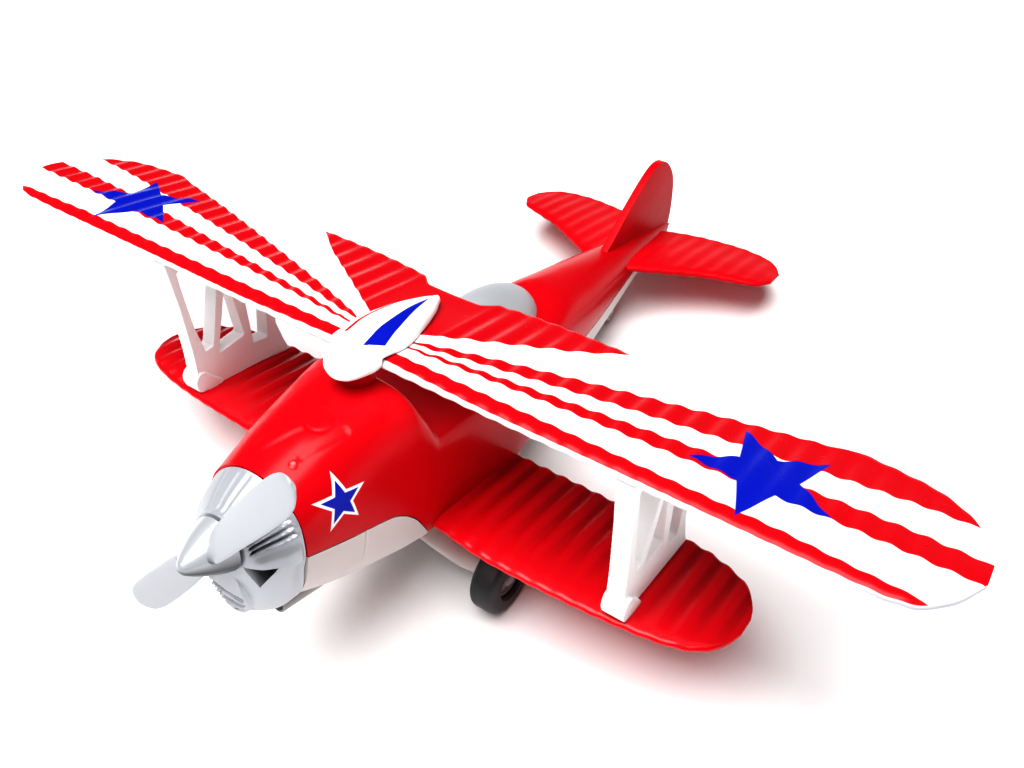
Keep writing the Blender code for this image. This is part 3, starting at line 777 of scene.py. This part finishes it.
# Stabiliser: distance out, leading edge, trailing edge, part of full thickness
STABILISER = [
    (0.0, 62.0, 93.0, 1.0),
    (5.6, 64.7, 96.0, 1.0),
    (15.0, 71.0, 99.0, 1.0),
    (24.0, 76.6, 100.0, 0.95),
    (31.0, 79.4, 98.9, 0.8),
    (35.4, 81.2, 96.0, 0.6),
    (38.0, 85.2, 91.6, 0.35),
]
STAB_MID = -17.6
STAB_THICK = 2.2


def aerofoil(along):
    """Height of the upper side over the middle, as a part of the thickness."""
    nose = 0.10
    if along < nose:
        return 0.5 * max(0.0, 1 - (1 - along / nose) ** 2.2) ** (1 / 2.2)
    tail = 0.5 - 0.30 * rise(along, 0.30, 0.98)
    return tail * max(0.0, 1 - max(0.0, (along - 0.965) / 0.035) ** 2.4) ** (1 / 2.4)


def chord_places(count):
    """Places along a chord, closer together at both edges."""
    return [0.5 - 0.5 * math.cos(math.pi * i / count) for i in range(count + 1)]


def ribbed_ring(x, lead, trail, mid, thick, ribs, count, calm, lip, front):
    """One wing section, lifted by the rib wave at its place, which calms down towards the trailing edge."""
    chord = trail - lead
    top, under = [], []
    for along in chord_places(count):
        y = lead + chord * along
        high = aerofoil(along) * thick
        wave = ribs * (lip + (1 - lip) * rise(along, *front))
        wave *= 1 - calm * rise(along, 0.7, 1.0)
        top.append((x, y, mid + high + wave))
        under.append((x, y, mid - high + wave))
    return list(reversed(top)) + under[1:-1]


def wing_skin(name, stations, mid, thick, pitch, depth, step, count, inner=0.0, both=False, side=1, flat=False,
              calm=0.5, lip=0.45, front=(0.03, 0.16)):
    """A ribbed wing panel from its stations, on one side or on both; a flat one thins from below only."""
    reach = stations[-1][0]
    places = steps_between(stations[0][0], reach, step)
    tip = [reach - (reach - places[-2]) * part for part in (0.5, 0.2)]
    places = places[:-1] + tip + [reach]
    if both:
        places = [-place for place in reversed(places[1:])] + places
    rings = []
    for place in places:
        lead, trail, part = flow(stations, abs(place))
        fade = rise(abs(place), inner, inner + 2.0) * (1 - 0.6 * rise(abs(place), reach - 6.0, reach))
        ribs = depth * fade * math.cos(2 * math.pi * place / pitch)
        middle = mid + thick * (1 - part) / 2 if flat else mid
        rings.append(ribbed_ring(place * side, lead, trail, middle, thick * part, ribs, count, calm, lip, front))
    return skin(name, rings)


def smooth_outline(points, per_side=6):
    """A rounder closed outline through the same points."""
    line = []
    count = len(points)
    for i in range(count):
        p0, p1, p2, p3 = (Vector(points[(i + k) % count]) for k in (-1, 0, 1, 2))
        for k in range(per_side):
            t = k / per_side
            line.append(tuple(0.5 * ((2 * p1) + (p2 - p0) * t + (2 * p0 - 5 * p1 + 4 * p2 - p3) * t * t
                                     + (3 * p1 - p0 - 3 * p2 + p3) * t ** 3)))
    return line


def build_tail():
    fin = plate("tail_fin", smooth_outline(FIN), FIN_THICK)
    soften(fin, 0.9, 4, 40.0)
    seat(fin, red_enamel())
    plane = wing_skin("tailplane", STABILISER, STAB_MID, STAB_THICK, 4.2, 0.14, 0.35, 24, inner=5.0, both=True)
    seat(plane, red_enamel())


# Canopy: middle, half length, half width, sill and top
CANOPY = (7.1, 21.4, 8.6, -19.5, -4.5)
CANOPY_FULLNESS = 0.9


def build_canopy():
    middle, half, wide, sill, top = CANOPY
    rings = []
    for i in range(1, 60):
        swing = math.pi * i / 60
        y = middle - half * math.cos(swing)
        part = math.sin(swing) ** CANOPY_FULLNESS
        ring = []
        for k in range(49):
            around = math.pi * k / 48
            ring.append((wide * part * math.cos(around), y, sill + (top - sill) * part * math.sin(around)))
        rings.append(ring)
    dome = skin("canopy_dome", rings)
    seat(dome, canopy_silver(), stands_for=["canopy"], angle=40)


# ---- Wings ------------------------------------------------------------------------------------------------------

WING_THICK = 3.0
WING_MID = -WING_THICK / 2
LOWER_MID = -39.6
LOWER_THICK = 2.8

# Distance out, leading edge, trailing edge, part of full thickness
UPPER_WING = [
    (0.0, -32.4, -2.6, 1.0),
    (6.0, -32.4, -2.4, 1.0),
    (10.0, -32.4, 0.4, 1.0),
    (28.0, -32.4, 1.8, 1.0),
    (60.0, -32.2, 1.2, 1.0),
    (84.0, -32.2, 0.2, 0.95),
    (95.0, -32.0, -1.2, 0.85),
    (99.0, -31.4, -2.9, 0.8),
    (101.5, -30.0, -4.6, 0.75),
    (103.9, -27.3, -7.2, 0.65),
    (105.0, -25.6, -8.8, 0.6),
    (107.2, -21.0, -13.6, 0.35),
]
LOWER_WING = [
    (13.0, -24.5, 5.8, 1.0),
    (30.0, -26.4, 5.8, 1.0),
    (46.0, -25.8, 5.6, 1.0),
    (60.0, -24.4, 4.8, 0.95),
    (67.5, -22.6, 2.8, 0.85),
    (72.0, -20.0, 0.2, 0.7),
    (74.8, -15.6, -4.4, 0.5),
    (75.7, -12.4, -7.6, 0.3),
]


LONGER_STARBOARD = 1.045


def build_upper_wing():
    depth = size("rib_depth")
    wing = wing_skin("upper_wing_panel", UPPER_WING, WING_MID - depth / 2, WING_THICK - depth, size("rib_pitch"),
                     depth, 0.4, 36, inner=8.0, both=True, flat=True)
    seat(wing, wing_print(), stands_for=["upper_wing"])


def build_lower_wings():
    depth = 1.6 * size("rib_depth")
    for name, side in SIDES:
        reach = 1.0 if side > 0 else LONGER_STARBOARD
        stations = [(x * reach, lead, trail, part) for x, lead, trail, part in LOWER_WING]
        wing = wing_skin("lower_wing_panel_" + name, stations, LOWER_MID, LOWER_THICK - depth, size("rib_pitch"),
                         depth, 0.3, 32, inner=14.0, side=side, calm=0.3, lip=0.3, front=(0.1, 0.45))
        seat(wing, ribbed_red(), stands_for=["lower_wing_" + name])


# Fairing: length, half width, base, widest height, top
FAIRING = [
    (-38.9, 1.6, -3.5, -2.9, -2.2),
    (-38.2, 3.2, -3.85, -2.4, -1.0),
    (-36.6, 4.5, -3.9, -1.8, 0.9),
    (-32.8, 5.7, -3.6, -1.0, 1.9),
    (-32.7, 5.7, 0.1, 0.1, 1.9),
    (-27.0, 6.5, 0.1, 0.1, 2.9),
    (-20.0, 5.0, 0.1, 0.1, 3.2),
    (-13.0, 2.7, 0.1, 0.1, 2.3),
    (-8.9, 0.7, 0.1, 0.1, 1.3),
]
# The cap sits a little to port, more so at its nose
FAIRING_SHIFT = [(-38.9, 1.18), (-25.0, 0.9), (-8.9, 0.58)]


def build_fairing():
    rings = []
    for y in steps_between(-38.9, -32.8, 0.25) + steps_between(-32.7, -8.9, 0.4):
        half, base, widest, top = flow(FAIRING, y)
        middle, = flow(FAIRING_SHIFT, y)
        ring = []
        for k in range(64):
            swing = 2 * math.pi * k / 64
            reach = top - widest if k < 32 else widest - base
            ring.append((middle + half * math.cos(swing), y, widest + reach * math.sin(swing)))
        rings.append(ring)
    cap = skin("wing_fairing_cap", rings)
    seat(cap, fairing_print(), stands_for=["wing_fairing"], angle=50)


# ---- Struts -----------------------------------------------------------------------------------------------------

STRUT_LOW = LOWER_MID + LOWER_THICK / 2 + 0.05
STRUT_HIGH = -WING_THICK - 0.05
STRUT_OUTLINE = [
    (-22.0, STRUT_LOW), (3.2, STRUT_LOW), (1.7, -35.2), (-0.7, -29.3), (-1.2, STRUT_HIGH), (-30.8, STRUT_HIGH),
    (-30.4, -5.1), (-28.1, -14.5), (-25.8, -26.8), (-25.3, -30.5), (-25.0, -34.0),
]
STRUT_GAPS = (
    [(-22.2, -28.0), (-20.0, -27.6), (-18.1, -15.1), (-16.8, -6.1), (-27.8, -6.4), (-26.4, -13.1), (-24.7, -20.4)],
    [(-18.5, -30.1), (-10.8, -28.5), (-13.1, -19.4), (-15.2, -11.4), (-16.1, -17.1)],
    [(-8.0, -31.9), (-3.6, -32.1), (-4.2, -6.2), (-11.8, -6.6)],
)
FOOT_SHIFT = 0.3
STRUT_FOOT = [
    (-24.0, STRUT_LOW), (-18.4, STRUT_LOW), (-18.8, -36.9), (-20.4, -35.6), (-22.0, -34.2), (-23.2, -33.2),
    (-24.5, -33.0), (-25.5, -34.0), (-25.8, -35.6), (-25.2, -37.2),
]


def build_struts():
    thick = size("strut_thick")
    web = plate("strut_frame", STRUT_OUTLINE, thick)
    for gap in STRUT_GAPS:
        carve(web, plate("opening", gap, thick + 2.0))
    foot = plate("strut_foot", smooth_outline(STRUT_FOOT, 3), size("strut_foot"), FOOT_SHIFT)
    carve(web, foot, "UNION")
    shape(web, "REMESH", mode="VOXEL", voxel_size=0.2)
    shape(web, "SMOOTH", factor=0.5, iterations=7)
    for vertex in web.data.vertices:
        for middle, half in ((0.0, thick / 2), (FOOT_SHIFT, size("strut_foot") / 2)):
            if abs(abs(vertex.co.x - middle) - half) < 0.1:
                vertex.co.x = middle + math.copysign(half, vertex.co.x - middle)
    for name, side in SIDES:
        strut = web.copy()
        strut.data = web.data.copy()
        strut.name = strut.data.name = "strut_frame_" + name
        bpy.context.collection.objects.link(strut)
        strut.data.transform(Matrix.Translation((side * size("strut_place"), 0.0, 0.0)) @ Matrix.Scale(side, 4, (1, 0, 0)))
        if side < 0:
            strut.data.flip_normals()
        seat(strut, white_plastic(), stands_for=["strut_" + name])
    bpy.data.objects.remove(web, do_unlink=True)


# ---- Engine and propeller ---------------------------------------------------------------------------------------

# Length, half width, top, bottom
COWL = [
    (-65.4, 5.9, -18.3, -30.4),
    (-64.6, 7.2, -18.2, -34.6),
    (-63.6, 8.5, -17.8, -38.8),
    (-62.6, 9.4, -17.0, -40.8),
    (-60.0, 11.4, -15.3, -41.8),
    (-57.5, 12.1, -13.9, -41.4),
]
FINNED = (43.0, 180.0, 252.0)
RIDGED = (104.0,)
# Opening beside the chin: distance out and height of its corners on the port side
OPENING = ((5.0, -26.3), (10.0, -26.2), (7.4, -30.8))
# Chin: height below the cowl's middle, half width
CHIN_MIDDLE = -27.65
CHIN = [(-13.6, 1.6), (-12.2, 3.2), (-11.2, 3.9), (-8.5, 5.0), (-5.2, 4.3), (-3.2, 3.4)]


def away_from(angle, middle):
    return abs((angle - middle + 180.0) % 360.0 - 180.0)


def cowl_change(angle, back):
    """Change of the cowl's radius in millimetres at an angle, from its front (0) to its rear edge (1)."""
    change = 0.7 * math.exp(-(away_from(angle, 42.0) / 15.0) ** 2) * rise(back, 0.4, 1.0)
    change -= 0.8 * math.exp(-(away_from(angle, -8.0) / 16.0) ** 2) * rise(back, 0.5, 1.0)
    along = rise(back, 0.04, 0.2) * (1 - rise(back, 0.9, 0.97))
    for middle in FINNED:
        off = away_from(angle, middle)
        inside = 1 - rise(off, 10.6, 12.6)
        valley = (0.5 - 0.5 * math.cos(2 * math.pi * off / 6.0)) ** 0.8
        change -= inside * along * (0.25 + 1.25 * valley * (1 - 0.6 * rise(back, 0.5, 0.95)))
    for middle in RIDGED:
        off = away_from(angle, middle)
        inside = 1 - rise(off, 13.0, 17.0)
        change -= inside * along * (0.05 + 0.15 * (0.5 - 0.5 * math.cos(2 * math.pi * off / 9.0)))
    for edge, sign in ((5.0, 1), (175.0, -1)):
        over = sign * ((angle - edge + 180.0) % 360.0 - 180.0)
        change += 0.35 * rise(over, -0.8, 0.6) * (1 - rise(over, 12.0, 22.0)) * along
        change -= 0.35 * rise(-over, 0.0, 1.2) * (1 - rise(-over, 8.0, 40.0)) * along
    return change


def chin_change(x, z):
    """How far the chin's ribbed front stands out ahead of the cowl."""
    drop = z - CHIN_MIDDLE
    if drop > -2.6 or drop < -14.2:
        return 0.0
    half = flow(CHIN, min(max(drop, CHIN[0][0]), CHIN[-1][0]))[0]
    inside = (1 - rise(abs(x), half - 0.5, half + 0.15)) * (1 - rise(drop, -4.0, -2.8)) * rise(drop, -14.0, -13.2)
    ribs = 0.5 + 0.5 * math.cos(2 * math.pi * (drop + 6.6) / 1.85) * (1 - rise(abs(x), half - 1.3, half - 0.4))
    ribs = ribs * rise(drop, -11.4, -10.6) + (1 - rise(drop, -11.4, -10.6))
    lip = math.exp(-((math.hypot(x, 2.2 * (drop + 11.4)) - 1.8) / 0.4) ** 2) * (1 - rise(drop, -11.6, -11.2))
    return inside * (0.65 + 0.6 * ribs - 0.5 * lip)


def build_cowl():
    front, rear = COWL[0][0], COWL[-1][0]
    rings = []
    for y in steps_between(front, -62.6, 0.06)[:-1] + steps_between(-62.6, rear, 0.16):
        half, top, bottom = flow(COWL, y)
        mid = (top + bottom) / 2
        back = (y - front) / (rear - front)
        ring = []
        for k in range(420):
            swing = 2 * math.pi * k / 420
            x, z = half * math.cos(swing), mid + (top - mid) * math.sin(swing)
            away = math.hypot(x, z - CHIN_MIDDLE)
            angle = math.degrees(math.atan2(z - CHIN_MIDDLE, x))
            grow = 1 + cowl_change(angle, back) / away
            x, z = x * grow, CHIN_MIDDLE + (z - CHIN_MIDDLE) * grow
            ring.append((x, max(y - chin_change(x, z), -65.35), z))
        rings.append(ring)
    cowl = skin("engine_cowl_casting", rings)
    for side in (1, -1):
        cutter = start("opening", "cylinder", vertices=3, radius=1.0, depth=1.0)
        for vertex in cutter.data.vertices:
            corner = OPENING[vertex.index // 2]
            vertex.co = (side * corner[0], -66.5 if vertex.index % 2 else -60.6, corner[1])
        close_up(cutter)
        carve(cowl, cutter)
    seat(cowl, cowl_silver(), stands_for=["engine_cowl"])


def cowl_silver():
    """Silver paint, with painted shade in dark red on the walls of the openings beside the chin and painted shade
    between the fins.
    """
    if "cowl_silver" in FINISHES:
        return FINISHES["cowl_silver"]
    silver = paint("silver")
    finish = Finish("cowl_silver", silver, 0.44, 0.4, shine=0.4)
    point = finish.point()
    x, y, z = finish.split(point)
    out = x.size()
    inside = None
    for (ax, az), (bx, bz) in zip(OPENING, OPENING[1:] + OPENING[:1]):
        run = math.hypot(bx - ax, bz - az)
        depth = ((out - ax) * ((bz - az) / run) - (z - az) * ((bx - ax) / run)) * -1.0 + 0.05
        step = depth.clear_of(0.0, 0.02)
        inside = step if inside is None else inside * step
    inside = inside * y.clear_of(-65.3)
    cloud = finish.noise(point, 0.08)
    colour = finish.mix(cloud, tuple(c * 0.93 for c in silver), silver)
    # Painted shade: the hollows between the fins are darkened
    pointiness_for_shade = finish.node("ShaderNodeNewGeometry", out="Pointiness")
    colour = finish.mix((1 - pointiness_for_shade.clear_of(0.44, 0.04)) * 0.7, colour, (0.05, 0.05, 0.055))
    # Painted shade: the walls of the openings beside the chin are dark red
    colour = finish.mix(inside, colour, (0.035, 0.003, 0.004))
    finish.set("Base Color", colour)
    finish.set("Metallic", 0.4 - inside * 0.4)
    finish.set("Roughness", finish.noise(point, 0.3) * 0.1 + 0.4)
    finish.bump(finish.noise(point, 8.0), 0.004)
    FINISHES["cowl_silver"] = finish.material
    return finish.material


BLADE_ANGLE = 49.8
BLADE_LEAN = 0.35
# Spinner colours: a painted sheen where it faces up and painted shade underneath
SPINNER_SHEEN = (0.52, 0.53, 0.56)
SPINNER_SHADE = (0.05, 0.05, 0.055)
# Distance out, half width, thickness, twist
BLADE = [
    (2.0, 2.4, 2.4, 44.0),
    (5.0, 3.3, 2.4, 40.0),
    (9.0, 3.5, 2.2, 34.0),
    (15.0, 3.65, 1.9, 27.0),
    (21.5, 3.7, 1.6, 21.0),
    (27.0, 3.55, 1.3, 17.0),
    (30.4, 2.95, 1.1, 16.0),
    (32.0, 1.85, 0.9, 16.0),
    (32.6, 0.8, 0.7, 16.0),
]
# Radius and distance ahead of the hub's centre, closed along the axis
SPINNER = [(0.0, 5.6), (0.5, 5.5), (1.2, 5.1), (2.1, 4.0), (3.0, 2.6), (3.9, 1.0), (4.6, -0.6), (5.1, -2.0),
           (5.3, -2.7), (0.0, -2.7)]


def blade(name, angle):
    rings = []
    for reach in steps_between(2.0, 31.8, 0.5) + [32.1, 32.35, 32.5, 32.6]:
        half, thick, twist = flow(BLADE, reach)
        pitch = math.radians(twist)
        ring = []
        for k in range(32):
            swing = 2 * math.pi * k / 32
            wide = half * math.cos(swing) + BLADE_LEAN * rise(reach, 4.0, 15.0)
            deep = thick / 2 * math.sin(swing)
            ring.append((reach, wide * math.sin(pitch) + deep * math.cos(pitch),
                         wide * math.cos(pitch) - deep * math.sin(pitch)))
        rings.append(ring)
    piece = skin(name, rings)
    piece.data.transform(Matrix.Translation(HUB) @ Matrix.Rotation(-math.radians(angle), 4, "Y"))
    return piece


def propeller_silver():
    """Satin silver blades with a smoother, more metallic hub, painted with a sheen on top and shade underneath."""
    if "propeller_silver" in FINISHES:
        return FINISHES["propeller_silver"]
    silver = paint("silver")
    finish = Finish("propeller_silver", silver, 0.4, 0.3, shine=0.4)
    point = finish.point()
    x, y, z = finish.split(point)
    out = finish.node("ShaderNodeMath", {"operation": "SQRT"}, [x * x + (z - HUB[2]) * (z - HUB[2])])
    hub = 1 - out.clear_of(5.5, 0.3)
    cloud = finish.noise(point, 0.08)
    # Painted sheen and painted shade: the hub is pale where it faces up and dark below
    hub_sheen_and_shade = finish.mix(facing_up(finish).clear_of(0.05, 0.35), SPINNER_SHADE, SPINNER_SHEEN)
    satin = finish.mix(cloud, tuple(c * 0.95 for c in silver), silver)
    finish.set("Base Color", finish.mix(hub, satin, hub_sheen_and_shade))
    finish.set("Metallic", hub * 0.15 + 0.25)
    finish.set("Roughness", 0.42 - hub * 0.14 + finish.noise(point, 0.3) * 0.05)
    finish.bump(finish.noise(point, 8.0), 0.003)
    FINISHES["propeller_silver"] = finish.material
    return finish.material


def build_propeller():
    hub = turn("propeller_moulding", [(r, -ahead) for r, ahead in SPINNER], HUB, axis="Y", steps=64)
    for name, angle in (("upper", BLADE_ANGLE), ("lower", BLADE_ANGLE + 180.0)):
        carve(hub, blade("blade_" + name, angle), "UNION")
    seat(hub, propeller_silver(), "propeller_rotor", ["propeller"], angle=40)


# ---- Undercarriage ----------------------------------------------------------------------------------------------

AXLE = Vector((0.0, -13.4, -55.2))
WHEEL_X = 24.8
HUB_R = 4.1
GEAR_LEG = [
    (7.0, -13.4, -47.8, 8.0, 3.4),
    (12.0, -13.4, -51.6, 5.8, 2.8),
    (17.0, -13.4, -54.6, 3.6, 2.3),
    (21.2, -13.4, -55.2, 2.6, 2.1),
]


def tyre_section(radius, half, bore, shoulder):
    line = [(bore, half - 0.5), (bore + 0.5, half)]
    for i in range(9):
        swing = math.pi / 2 * i / 8
        line.append((radius - shoulder + shoulder * math.sin(swing), half - shoulder + shoulder * math.cos(swing)))
    return line + [(r, -x) for r, x in reversed(line)]


def build_wheels():
    for name, side in SIDES:
        place = AXLE + Vector((side * WHEEL_X, 0.0, 0.0))
        tyre = turn("tyre_moulding_" + name, tyre_section(size("wheel_radius"), size("wheel_width") / 2,
                                                          HUB_R + 0.1, 1.6), place, steps=64)
        seat(tyre, black_rubber(), "main_wheels", ["tyre_" + name])
        hub_line = [(0.0, 2.5), (1.4, 2.5), (1.7, 2.2), (1.9, 1.5), (3.3, 1.3), (3.6, 1.9), (HUB_R, 1.9),
                    (HUB_R, -1.9), (1.3, -1.9), (1.3, 0.6), (0.0, 0.6)]
        hub = turn("wheel_disc_" + name, [(r, side * x) for r, x in hub_line], place)
        seat(hub, grey_plastic(), "main_wheels", ["wheel_hub_" + name])
    bright = bright_steel()
    for node in ("wheel_axle", "tail_wheel_pin"):
        frame["nodes"][node].material_slots[0].material = bright


def build_gear_legs():
    for name, side in SIDES:
        rings = []
        for x in steps_between(7.0, 21.2, 0.4):
            y, z, half, thick = flow(GEAR_LEG, x)
            rings.append([(side * x, y + half * math.cos(2 * math.pi * k / 48),
                           z + thick * math.sin(2 * math.pi * k / 48)) for k in range(48)])
        leg = skin("gear_leg_moulding_" + name, rings)
        soften(leg, 0.5, 3, 50.0)
        seat(leg, beige_plastic(), stands_for=["gear_leg_" + name])


EXHAUST_X = 3.6
EXHAUST_R = 1.6


def build_exhausts():
    for name, side in SIDES:
        front, rear = Vector((side * EXHAUST_X, -56.8, -43.2)), Vector((side * EXHAUST_X, -46.4, -44.5))
        line = [(EXHAUST_R, 0.2), (EXHAUST_R, 10.4), (0.0, 10.4), (0.0, 2.6), (1.15, 2.6), (1.2, 0.0),
                (EXHAUST_R - 0.12, 0.0)]
        pipe = turn("exhaust_pipe_" + name, line, (0.0, 0.0, 0.0), axis="Y", steps=40)
        lean = math.atan2(rear.z - front.z, rear.y - front.y)
        pipe.data.transform(Matrix.Translation(front) @ Matrix.Rotation(lean, 4, "X"))
        seat(pipe, pipe_grey(), stands_for=["exhaust_" + name])


def build_tail_wheel():
    low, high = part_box("tail_wheel")
    place = PARKED.inverted() @ ((low + high) / 2)
    tyre = turn("tail_wheel_tyre", tyre_section(2.6, 1.2, 0.8, 0.7), place, steps=32)
    seat(tyre, black_rubber(), "tail_wheel_body", ["tail_wheel"])
    frame["nodes"]["tail_fork"].material_slots[0].material = beige_plastic()


def build_pylon():
    frame["nodes"]["wing_pylon"].material_slots[0].material = red_enamel()


# ---- Stage ------------------------------------------------------------------------------------------------------

CAMERA_PLACE = Vector((99.60, -144.43, 90.59))
CAMERA_ROWS = ((0.82511, -0.36965, 0.42726), (0.55798, 0.65181, -0.51362), (-0.08863, 0.66219, 0.74408))
CAMERA_LENS = 33.982


def soft_light(name, place, aim, across, power):
    lamp = bpy.data.lights.new(name, "AREA")
    lamp.size = across
    lamp.energy = power
    obj = bpy.data.objects.new(name, lamp)
    bpy.context.scene.collection.objects.link(obj)
    obj.location = place
    obj.rotation_euler = (Vector(aim) - Vector(place)).to_track_quat("-Z", "Y").to_euler()


def build_stage():
    floor = start("floor", "plane", size=8.0)
    paper = Finish("white_paper", (0.93, 0.93, 0.93), 0.6)
    cloud = paper.noise(paper.point(), 0.01)
    paper.set("Base Color", paper.mix(cloud, (0.92, 0.92, 0.92), (0.94, 0.94, 0.94)))
    place = paper.node("ShaderNodeTexCoord", out="Object")
    far = paper.node("ShaderNodeVectorMath", {"operation": "LENGTH"}, [place], "Value")
    paper.shader.inputs["Emission Strength"].default_value = 1.0
    paper.set("Emission Color", paper.mix(far.clear_of(0.3, 0.12), (0.0, 0.0, 0.0), (0.6, 0.6, 0.6)))
    floor.data.materials.append(paper.material)
    soft_light("overhead", (0.0, -0.1, 0.9), (0.0, 0.0, 0.0), 0.7, 11.5)
    soft_light("front_softbox", (-0.15, -0.6, 0.75), (0.0, 0.0, 0.04), 0.6, 1.3)
    world = bpy.data.worlds.new("studio")
    world.use_nodes = True
    world.node_tree.nodes["Background"].inputs["Color"].default_value = (1.0, 1.0, 1.0, 1.0)
    sky = world.node_tree.nodes["Background"].inputs["Strength"]
    seen = world.node_tree.nodes.new("ShaderNodeLightPath").outputs["Is Camera Ray"]
    level = world.node_tree.nodes.new("ShaderNodeMapRange")
    level.inputs["To Min"].default_value = 0.08
    level.inputs["To Max"].default_value = 1.0
    world.node_tree.links.new(seen, level.inputs["Value"])
    world.node_tree.links.new(level.outputs["Result"], sky)
    bpy.context.scene.world = world
    bpy.context.scene.view_settings.view_transform = "Standard"
    bpy.context.scene.view_settings.look = "High Contrast"
    camera = bpy.data.objects.new("camera", bpy.data.cameras.new("camera"))
    camera.data.lens = CAMERA_LENS
    camera.data.sensor_width = 36.0
    camera.data.sensor_fit = "HORIZONTAL"
    camera.data.clip_start = 0.01
    turned = Matrix(CAMERA_ROWS).to_4x4()
    camera.matrix_world = Matrix.Translation(ORIGIN + TILT @ (CAMERA_PLACE * MM)) @ turned
    bpy.context.scene.collection.objects.link(camera)
    bpy.context.scene.camera = camera


# ---- Operators and panel ---------------------------------------------------------------------------------------


class BIPLANE_OT_fuselage(bpy.types.Operator):
    """Casting with its hump, and the plastic pan under it"""
    bl_idname = "biplane.fuselage"
    bl_label = "Fuselage"

    def execute(self, context):
        build_fuselage()
        return {"FINISHED"}


class BIPLANE_OT_tail(bpy.types.Operator):
    """Fin and ribbed stabiliser"""
    bl_idname = "biplane.tail"
    bl_label = "Tail"

    def execute(self, context):
        build_tail()
        return {"FINISHED"}


class BIPLANE_OT_canopy(bpy.types.Operator):
    """Grey dome over the cockpit"""
    bl_idname = "biplane.canopy"
    bl_label = "Canopy"

    def execute(self, context):
        build_canopy()
        return {"FINISHED"}


class BIPLANE_OT_upper_wing(bpy.types.Operator):
    """Ribbed white wing with its stripes and stars"""
    bl_idname = "biplane.upper_wing"
    bl_label = "Upper wing"

    def execute(self, context):
        build_upper_wing()
        return {"FINISHED"}


class BIPLANE_OT_lower_wings(bpy.types.Operator):
    """Ribbed red wing at each side"""
    bl_idname = "biplane.lower_wings"
    bl_label = "Lower wings"

    def execute(self, context):
        build_lower_wings()
        return {"FINISHED"}


class BIPLANE_OT_fairing(bpy.types.Operator):
    """Teardrop cap over the middle of the upper wing"""
    bl_idname = "biplane.fairing"
    bl_label = "Wing fairing"

    def execute(self, context):
        build_fairing()
        return {"FINISHED"}


class BIPLANE_OT_pylon(bpy.types.Operator):
    """Finish of the block between the hump and the upper wing"""
    bl_idname = "biplane.pylon"
    bl_label = "Wing pylon"

    def execute(self, context):
        build_pylon()
        return {"FINISHED"}


class BIPLANE_OT_struts(bpy.types.Operator):
    """Braced frame between the wings at each side"""
    bl_idname = "biplane.struts"
    bl_label = "Struts"

    def execute(self, context):
        build_struts()
        return {"FINISHED"}


class BIPLANE_OT_cowl(bpy.types.Operator):
    """Silver cowl with its fins, openings and chin"""
    bl_idname = "biplane.cowl"
    bl_label = "Engine cowl"

    def execute(self, context):
        build_cowl()
        return {"FINISHED"}


class BIPLANE_OT_propeller(bpy.types.Operator):
    """Pointed hub with two wide blades"""
    bl_idname = "biplane.propeller"
    bl_label = "Propeller"

    def execute(self, context):
        build_propeller()
        return {"FINISHED"}


class BIPLANE_OT_wheels(bpy.types.Operator):
    """Tyres, hubs and the axle's finish"""
    bl_idname = "biplane.wheels"
    bl_label = "Main wheels"

    def execute(self, context):
        build_wheels()
        return {"FINISHED"}


class BIPLANE_OT_gear_legs(bpy.types.Operator):
    """Leg from the belly to the axle at each side"""
    bl_idname = "biplane.gear_legs"
    bl_label = "Gear legs"

    def execute(self, context):
        build_gear_legs()
        return {"FINISHED"}


class BIPLANE_OT_exhausts(bpy.types.Operator):
    """Short open pipe at each side under the belly"""
    bl_idname = "biplane.exhausts"
    bl_label = "Exhaust pipes"

    def execute(self, context):
        build_exhausts()
        return {"FINISHED"}


class BIPLANE_OT_tail_wheel(bpy.types.Operator):
    """Small tyre and the finish of its fork"""
    bl_idname = "biplane.tail_wheel"
    bl_label = "Tail wheel"

    def execute(self, context):
        build_tail_wheel()
        return {"FINISHED"}


class BIPLANE_OT_stage(bpy.types.Operator):
    """Pale floor, soft lights and the camera"""
    bl_idname = "biplane.stage"
    bl_label = "Stage"

    def execute(self, context):
        build_stage()
        return {"FINISHED"}


STEPS = (
    BIPLANE_OT_fuselage, BIPLANE_OT_tail, BIPLANE_OT_canopy, BIPLANE_OT_upper_wing, BIPLANE_OT_lower_wings,
    BIPLANE_OT_fairing, BIPLANE_OT_pylon, BIPLANE_OT_struts, BIPLANE_OT_cowl, BIPLANE_OT_propeller,
    BIPLANE_OT_wheels, BIPLANE_OT_gear_legs, BIPLANE_OT_exhausts, BIPLANE_OT_tail_wheel, BIPLANE_OT_stage,
)


class BIPLANE_PT_steps(bpy.types.Panel):
    """Sizes, colours and building steps of the biplane"""
    bl_idname = "BIPLANE_PT_steps"
    bl_label = "Toy Aerobatic Biplane"
    bl_space_type = "VIEW_3D"
    bl_region_type = "UI"
    bl_category = "Biplane"

    def draw(self, context):
        for group in (context.scene.biplane_sizes, context.scene.biplane_paints):
            box = self.layout.box()
            for name in group.__annotations__:
                box.prop(group, name)
        for step in STEPS:
            self.layout.operator(step.bl_idname)


CLASSES = (BiplanePaints, BiplaneSizes, *STEPS, BIPLANE_PT_steps)


def register():
    for item in CLASSES:
        bpy.utils.register_class(item)
    bpy.types.Scene.biplane_paints = PointerProperty(type=BiplanePaints)
    bpy.types.Scene.biplane_sizes = PointerProperty(type=BiplaneSizes)


def unregister():
    del bpy.types.Scene.biplane_sizes
    del bpy.types.Scene.biplane_paints
    for item in reversed(CLASSES):
        bpy.utils.unregister_class(item)


def main():
    register()
    for step in STEPS:
        getattr(bpy.ops.biplane, step.bl_idname.split(".")[1])()


if __name__ == "__main__":
    main()
